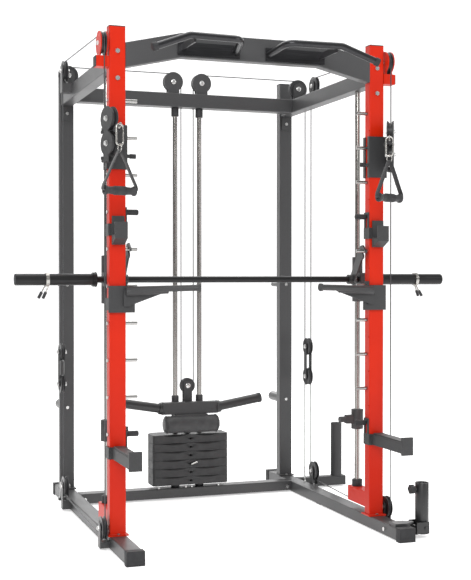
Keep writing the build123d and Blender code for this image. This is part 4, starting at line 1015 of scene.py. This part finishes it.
# ------------------------------------------------------------------ weight stack
@dataclass
class WeightStack:
    """Plates, carriage, horns and the faceted pad roll under the carriage."""

    pad_centre: Point = (0.0, 0.400, 0.390)
    pad_half: float = 0.148
    pad_radius: float = 0.0475
    facets: int = 8
    swell: float = 0.004
    voxel: float = 0.005

    def roll(self) -> bmesh.types.BMesh:
        """Returns the roll before it is filled: an eight-sided prism along X with rounded ends."""
        bm = bmesh.new()
        turn = Matrix.Rotation(math.pi / 2, 4, "Y") @ Matrix.Rotation(math.pi / self.facets, 4, "Z")
        bmesh.ops.create_circle(bm, cap_ends=True, segments=self.facets, radius=self.pad_radius - 0.0015)
        placed(bm, turn)
        bmesh.ops.translate(bm, verts=bm.verts[:], vec=(-self.pad_half + 0.002, 0, 0))
        made = bmesh.ops.extrude_face_region(bm, geom=bm.faces[:])["geom"]
        bmesh.ops.translate(bm, verts=[g for g in made if isinstance(g, bmesh.types.BMVert)],
                            vec=(2 * self.pad_half - 0.004, 0, 0))
        rims = [e for e in bm.edges if abs(e.verts[0].co.x - e.verts[1].co.x) < 1e-6]
        eased(bm, rims, 0.018, 4)
        long = [e for e in bm.edges if abs(e.verts[0].co.x - e.verts[1].co.x) > 0.1]
        eased(bm, long, 0.004, 2)
        bmesh.ops.translate(bm, verts=bm.verts[:], vec=self.pad_centre)
        return outward(bm)

    def fill_roll(self, pad: bpy.types.Object) -> None:
        """Swells the roll's cover as its foam does, no point further than the swell."""
        bpy.context.view_layer.objects.active = pad
        remesh = pad.modifiers.new("remesh", "REMESH")
        remesh.mode, remesh.voxel_size = "VOXEL", self.voxel
        bpy.ops.object.modifier_apply(modifier=remesh.name)
        rest = [v.co.copy() for v in pad.data.vertices]
        cloth = pad.modifiers.new("cloth", "CLOTH")
        cloth.settings.use_pressure = True
        cloth.settings.uniform_pressure_force = 4.0
        cloth.settings.effector_weights.gravity = 0.0
        scene = bpy.context.scene
        for number in range(1, 21):
            scene.frame_set(number)
        bpy.ops.object.modifier_apply(modifier=cloth.name)
        scene.frame_set(1)
        for vert, was in zip(pad.data.vertices, rest):
            step = vert.co - was
            if step.length > self.swell:
                vert.co = was + step.normalized() * self.swell
        smooth = pad.modifiers.new("smooth", "SUBSURF")
        smooth.levels = smooth.render_levels = 1
        bpy.ops.object.modifier_apply(modifier=smooth.name)

    def pad(self) -> None:
        """Makes the pad roll, its two end seams and its mounting plate."""
        roll = piece("carriage_pad_roll", self.roll(), VINYL, None)
        self.fill_roll(roll)
        for face in roll.data.polygons:
            face.use_smooth = True
        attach(roll, "stack")
        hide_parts("stack_pad")
        bm = bmesh.new()
        cx, cy, cz = self.pad_centre
        for s in (-1.0, 1.0):
            r = self.pad_radius - 0.0005
            ring = [Vector((cx + s * (self.pad_half - 0.017), cy + r * math.cos(a), cz + r * math.sin(a)))
                    for a in (math.tau * (k + 0.5) / self.facets for k in range(self.facets))]
            path = []
            for k, corner in enumerate(ring):
                path += [corner.lerp(ring[k - 1], 0.12), corner.lerp(ring[(k + 1) % len(ring)], 0.12)]
            merged(bm, swept(path, round_section(0.0017, 8), True, (1, 0, 0)))
        piece("pad_seam_piping", bm, VINYL, "stack")
        bm = bmesh.new()
        bmesh.ops.create_cube(bm, size=1.0)
        bmesh.ops.scale(bm, verts=bm.verts[:], vec=(0.170, 0.046, 0.012))
        eased(bm, bm.edges[:], 0.0015, 2)
        bmesh.ops.translate(bm, verts=bm.verts[:], vec=(0.0, cy + 0.010, 0.4342))
        piece("pad_mount_plate", outward(bm), CHARCOAL, "stack")

    def horn_caps(self) -> None:
        """Caps the ends of the plate horns."""
        bm = bmesh.new()
        tilt = math.radians(9.5)
        for s in (-1.0, 1.0):
            way = Vector((s * math.cos(tilt), 0.0, math.sin(tilt)))
            tip = Vector((s * 0.149, 0.427, 0.470)) + way * 0.240
            cap = turned([(0.0, -0.016), (0.0246, -0.016), (0.0252, -0.014), (0.0252, -0.001),
                          (0.0235, 0.0018), (0.0120, 0.0030), (0.0, 0.0030)], 32)
            merged(bm, cap, aimed(tip, way))
        piece("horn_end_caps", bm, RUBBER, "stack")

    def build(self) -> None:
        """Dresses the stack and makes its soft and small parts."""
        dress("lower_weight_plates", IRON, 0.0016)
        dress("upper_weight_plates", IRON, 0.0016)
        dress("weight_carriage", CHARCOAL, 0.0010)
        dress("plate_horns", BLACK)
        dress("selector_pin", PEG_CHROME)
        self.pad()
        self.horn_caps()


# ------------------------------------------------------------------ trolleys and handles
@dataclass
class PulleyTrolley:
    """One height-adjustable trolley with its swivelling pulley arm."""

    side: str
    sign: float
    turn: float
    wheels: tuple[float, float] = (1.791, 1.689)
    groove: float = 0.043
    line: tuple[float, float] = (0.660, -0.521)

    def place(self) -> Matrix:
        """Returns the matrix of the arm, which points along -Y before it is turned."""
        return (Matrix.Translation((self.sign * self.line[0], self.line[1], 0.0))
                @ Matrix.Rotation(math.radians(-self.sign * self.turn), 4, "Z"))

    def build(self, hardware: Hardware) -> None:
        """Dresses the trolley and bolts its arm's pulleys.

        Args:
            hardware: makes the bolt heads and nuts.
        """
        dress(f"{self.side}_trolley", CHARCOAL, 0.0012)
        dress(f"{self.side}_pop_pin", RUBBER, 0.0010)
        dress(f"{self.side}_pulley_arm", CHARCOAL, 0.0006)
        bm = bmesh.new()
        for z in self.wheels:
            for k, maker in ((-1.0, hardware.head), (1.0, hardware.nut)):
                merged(bm, maker(), self.place() @ aimed((k * 0.015, -self.groove, z), (k, 0, 0)))
        piece(f"{self.side}_arm_bolts", bm, ZINC, f"{self.side}_pulley_arm")


@dataclass
class StrapHandle:
    """One handle: ball stop, snap hook, ring, webbing strap and shaped grip."""

    side: str
    trolley: PulleyTrolley
    spin: float
    exit_z: float = 1.740
    hook_y: float = -0.130
    hook_z: float = 1.716
    grip_z: float = 1.490
    grip_half: float = 0.071

    def place(self, spin: bool) -> Matrix:
        """Returns the handle's matrix, with the grip's own turn if spin is true."""
        base = self.trolley.place()
        if spin:
            own_turn = Matrix.Rotation(math.radians(self.spin), 4, "Z")
            base = base @ Matrix.Translation((0, self.hook_y, 0)) @ own_turn
        return base

    def stop(self) -> None:
        """Makes the ball stop with its crimped eye."""
        bm = turned([(0.0, -0.0165), (0.0060, -0.0160), (0.0110, -0.0115), (0.0142, -0.0055), (0.0150, 0.0),
                     (0.0142, 0.0055), (0.0110, 0.0115), (0.0070, 0.0150), (0.0, 0.0160)], 32)
        placed(bm, self.place(False) @ aimed((0, -0.108, self.exit_z), (0, -1, 0)))
        body = f"{self.side}_handle"
        made = piece(f"{self.side}_ball_stop", bm, RUBBER, body, 60.0)
        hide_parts(body)
        bm = turned([(0.0, 0.0), (0.0046, 0.0), (0.0050, 0.001), (0.0050, 0.005), (0.0040, 0.0065),
                     (0.0, 0.0065)], 20)
        placed(bm, aimed((0, -0.1225, self.exit_z + 0.004), (0, -0.9, 0.43)))
        eye = arc((0, self.hook_y - 0.004, 1.7555), 0.0092, 0.0, 345.0, 23, "yz")
        merged(bm, swept(eye, round_section(0.0021, 8), True, (1, 0, 0)))
        placed(bm, self.place(False))
        piece(f"{self.side}_cable_eye", bm, HOOK_STEEL, body, 60.0)

    def hook(self) -> None:
        """Makes the snap hook: a bent wire body, a hinged gate and the strap's ring."""
        z, w, h, r = self.hook_z, 0.015, 0.042, 0.0135
        path = arc((w - r, self.hook_y, z + h - r), r, 20.0, 90.0, 6)
        path += arc((-w + r, self.hook_y, z + h - r), r, 90.0, 180.0, 8)
        path += arc((-w + r, self.hook_y, z - h + r), r, 180.0, 270.0, 8)
        path += arc((w - r, self.hook_y, z - h + r), r, 270.0, 350.0, 7)
        bm = swept(path, round_section(0.0039, 14))
        gate = [Vector((w, self.hook_y, z - h + 0.010)), Vector((w + 0.0006, self.hook_y, z - 0.012)),
                Vector((w + 0.0004, self.hook_y, z + 0.014)),
                Vector((w - 0.0016, self.hook_y, z + h - 0.0075))]
        merged(bm, swept(gate, round_section(0.0029, 12)))
        for x, y_long, at in ((w, 0.0056, z - h + 0.012), (w - 0.0012, 0.0052, z + h - 0.009)):
            pin = turned([(0.0, -y_long), (0.0016, -y_long), (0.0022, -y_long + 0.0008),
                          (0.0022, y_long - 0.0008), (0.0016, y_long), (0.0, y_long)], 14)
            merged(bm, pin, aimed((x, self.hook_y, at), (0, 1, 0)))
        placed(bm, self.place(False))
        body = f"{self.side}_handle"
        piece(f"{self.side}_snap_hook", bm, HOOK_STEEL, body, 60.0)
        ring = arc((0, 0.0, 1.6640), 0.0150, -60.0, 240.0, 20, "yz")
        ring = [Vector((p.x, p.y, min(p.z, 1.6790))) for p in ring]
        ring += [Vector((0, -0.0110 + 0.0055 * k, 1.6500)) for k in range(5)]
        bm = swept(ring, round_section(0.0022, 10), True, (1, 0, 0))
        placed(bm, self.place(True))
        piece(f"{self.side}_strap_ring", bm, HOOK_STEEL, body, 60.0)

    def strap(self) -> None:
        """Makes the strap from one end of the grip over the ring to the other, and its stitching."""
        a, z = self.grip_half, self.grip_z
        leg = [(-a + 0.012, z), (-a - 0.002, z + 0.0005), (-a - 0.0058, z + 0.004), (-a - 0.0062, z + 0.010),
               (-a - 0.0030, z + 0.022), (-0.052, z + 0.065), (-0.030, z + 0.112), (-0.009, z + 0.151),
               (-0.0052, z + 0.158), (-0.0036, z + 0.1625), (0.0, z + 0.1645)]
        both = leg + [(-x, h) for x, h in reversed(leg[:-1])]
        path = [Vector((x, 0.0, h)) for x, h in both]
        bm = swept(path, flat_section(0.0028, 0.0250), up=(0, 1, 0))
        placed(bm, self.place(True))
        body = f"{self.side}_handle"
        piece(f"{self.side}_strap", bm, STRAP, body, 50.0)
        bm = bmesh.new()
        for s in (-1.0, 1.0):
            for row in (-0.0085, 0.0085):
                for k in range(8):
                    t = 0.30 + 0.055 * k
                    lo = Vector((s * 0.0095, 0, z + 0.150)).lerp(Vector((s * 0.045, 0, z + 0.080)), t)
                    hi = Vector((s * 0.0095, 0, z + 0.150)).lerp(Vector((s * 0.045, 0, z + 0.080)), t + 0.035)
                    for face in (-0.0016, 0.0016):
                        shift = Vector((face * 0.89, row, face * 0.45 * s))
                        merged(bm, swept([lo + shift, hi + shift], round_section(0.00035, 6)))
        placed(bm, self.place(True))
        piece(f"{self.side}_strap_stitching", bm, THREAD, body, 60.0)

    def grip(self) -> None:
        """Turns the moulded grip, thick in the middle and at its end flanges."""
        a = self.grip_half
        half = [(0.0185, a), (0.0198, a - 0.0015), (0.0198, a - 0.009), (0.0180, a - 0.0115),
                (0.0156, a - 0.0135), (0.0150, a - 0.022), (0.0158, a - 0.034), (0.0172, a - 0.048),
                (0.0180, a - 0.060), (0.0182, 0.0)]
        full = [(0.0095, a + 0.0004), (0.0120, a + 0.0010)] + half + [(r, -x) for r, x in reversed(half[:-1])]
        full += [(0.0120, -a - 0.0010), (0.0095, -a - 0.0004)]
        full = [(0.0, a - 0.004), (0.0093, a - 0.004)] + full + [(0.0093, -a + 0.004), (0.0, -a + 0.004)]
        bm = turned(full, 40)
        lying = Matrix.Rotation(math.pi / 2, 4, "Y")
        turn = self.place(True) @ Matrix.Translation((0, 0, self.grip_z)) @ lying
        placed(bm, turn)
        piece(f"{self.side}_grip", bm, FOAM, f"{self.side}_handle", 50.0)
        bm = bmesh.new()
        for x in (-0.024, -0.016, -0.008, 0.0, 0.008, 0.016, 0.024):
            ring = turned([(0.0170, x - 0.0014), (0.0186, x - 0.0012), (0.0190, x), (0.0186, x + 0.0012),
                           (0.0170, x + 0.0014), (0.0170, x - 0.0014)], 40)
            merged(bm, ring)
        placed(bm, turn)
        piece(f"{self.side}_grip_ribs", bm, FOAM, f"{self.side}_handle", 50.0)

    def lead(self) -> None:
        """Makes the cable from the arm's pulleys to the ball stop, which lengthens as it is pulled."""
        place = self.trolley.place()
        start, end = place @ Vector((0, -0.002, self.exit_z)), place @ Vector((0, -0.094, self.exit_z))
        bm = swept([start, end], round_section(0.0025, 12), up=(0, 0, 1))
        made = piece(f"{self.side}_lead", bm, CABLE_SKIN, None)
        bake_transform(made)

    def build(self) -> None:
        """Makes the whole handle."""
        self.stop()
        self.hook()
        self.strap()
        self.grip()
        self.lead()


# ------------------------------------------------------------------ accessories
@dataclass
class Accessories:
    """J-hooks, dip arms, spotter arms and the landmine."""

    def build(self) -> None:
        """Dresses the hung accessories and the landmine."""
        for node in ("j_hooks", "spotter_arms", "dip_arms"):
            dress(node, CHARCOAL, 0.0012)
        for node in ("landmine_yoke", "landmine_tube"):
            dress(node, BLACK, 0.0008)
        dress("landmine_knob", RUBBER, 0.0008)


def main() -> None:
    """Builds the studio and the cage's sub-assemblies in order."""
    logging.basicConfig(level=logging.INFO, format="%(name)s %(message)s")
    Studio().build()
    hardware = Hardware()
    CageFrame().build()
    hardware.build()
    PullUpStation().build()
    CableRun().build()
    SmithMachine().build()
    WeightStack().build()
    for (side, sign), turn, spin in zip(SIDES, (15.0, 30.0), (0.0, 50.0)):
        trolley = PulleyTrolley(side, sign, turn)
        trolley.build(hardware)
        StrapHandle(side, trolley, spin).build()
    Accessories().build()


if __name__ == "__main__":
    main()
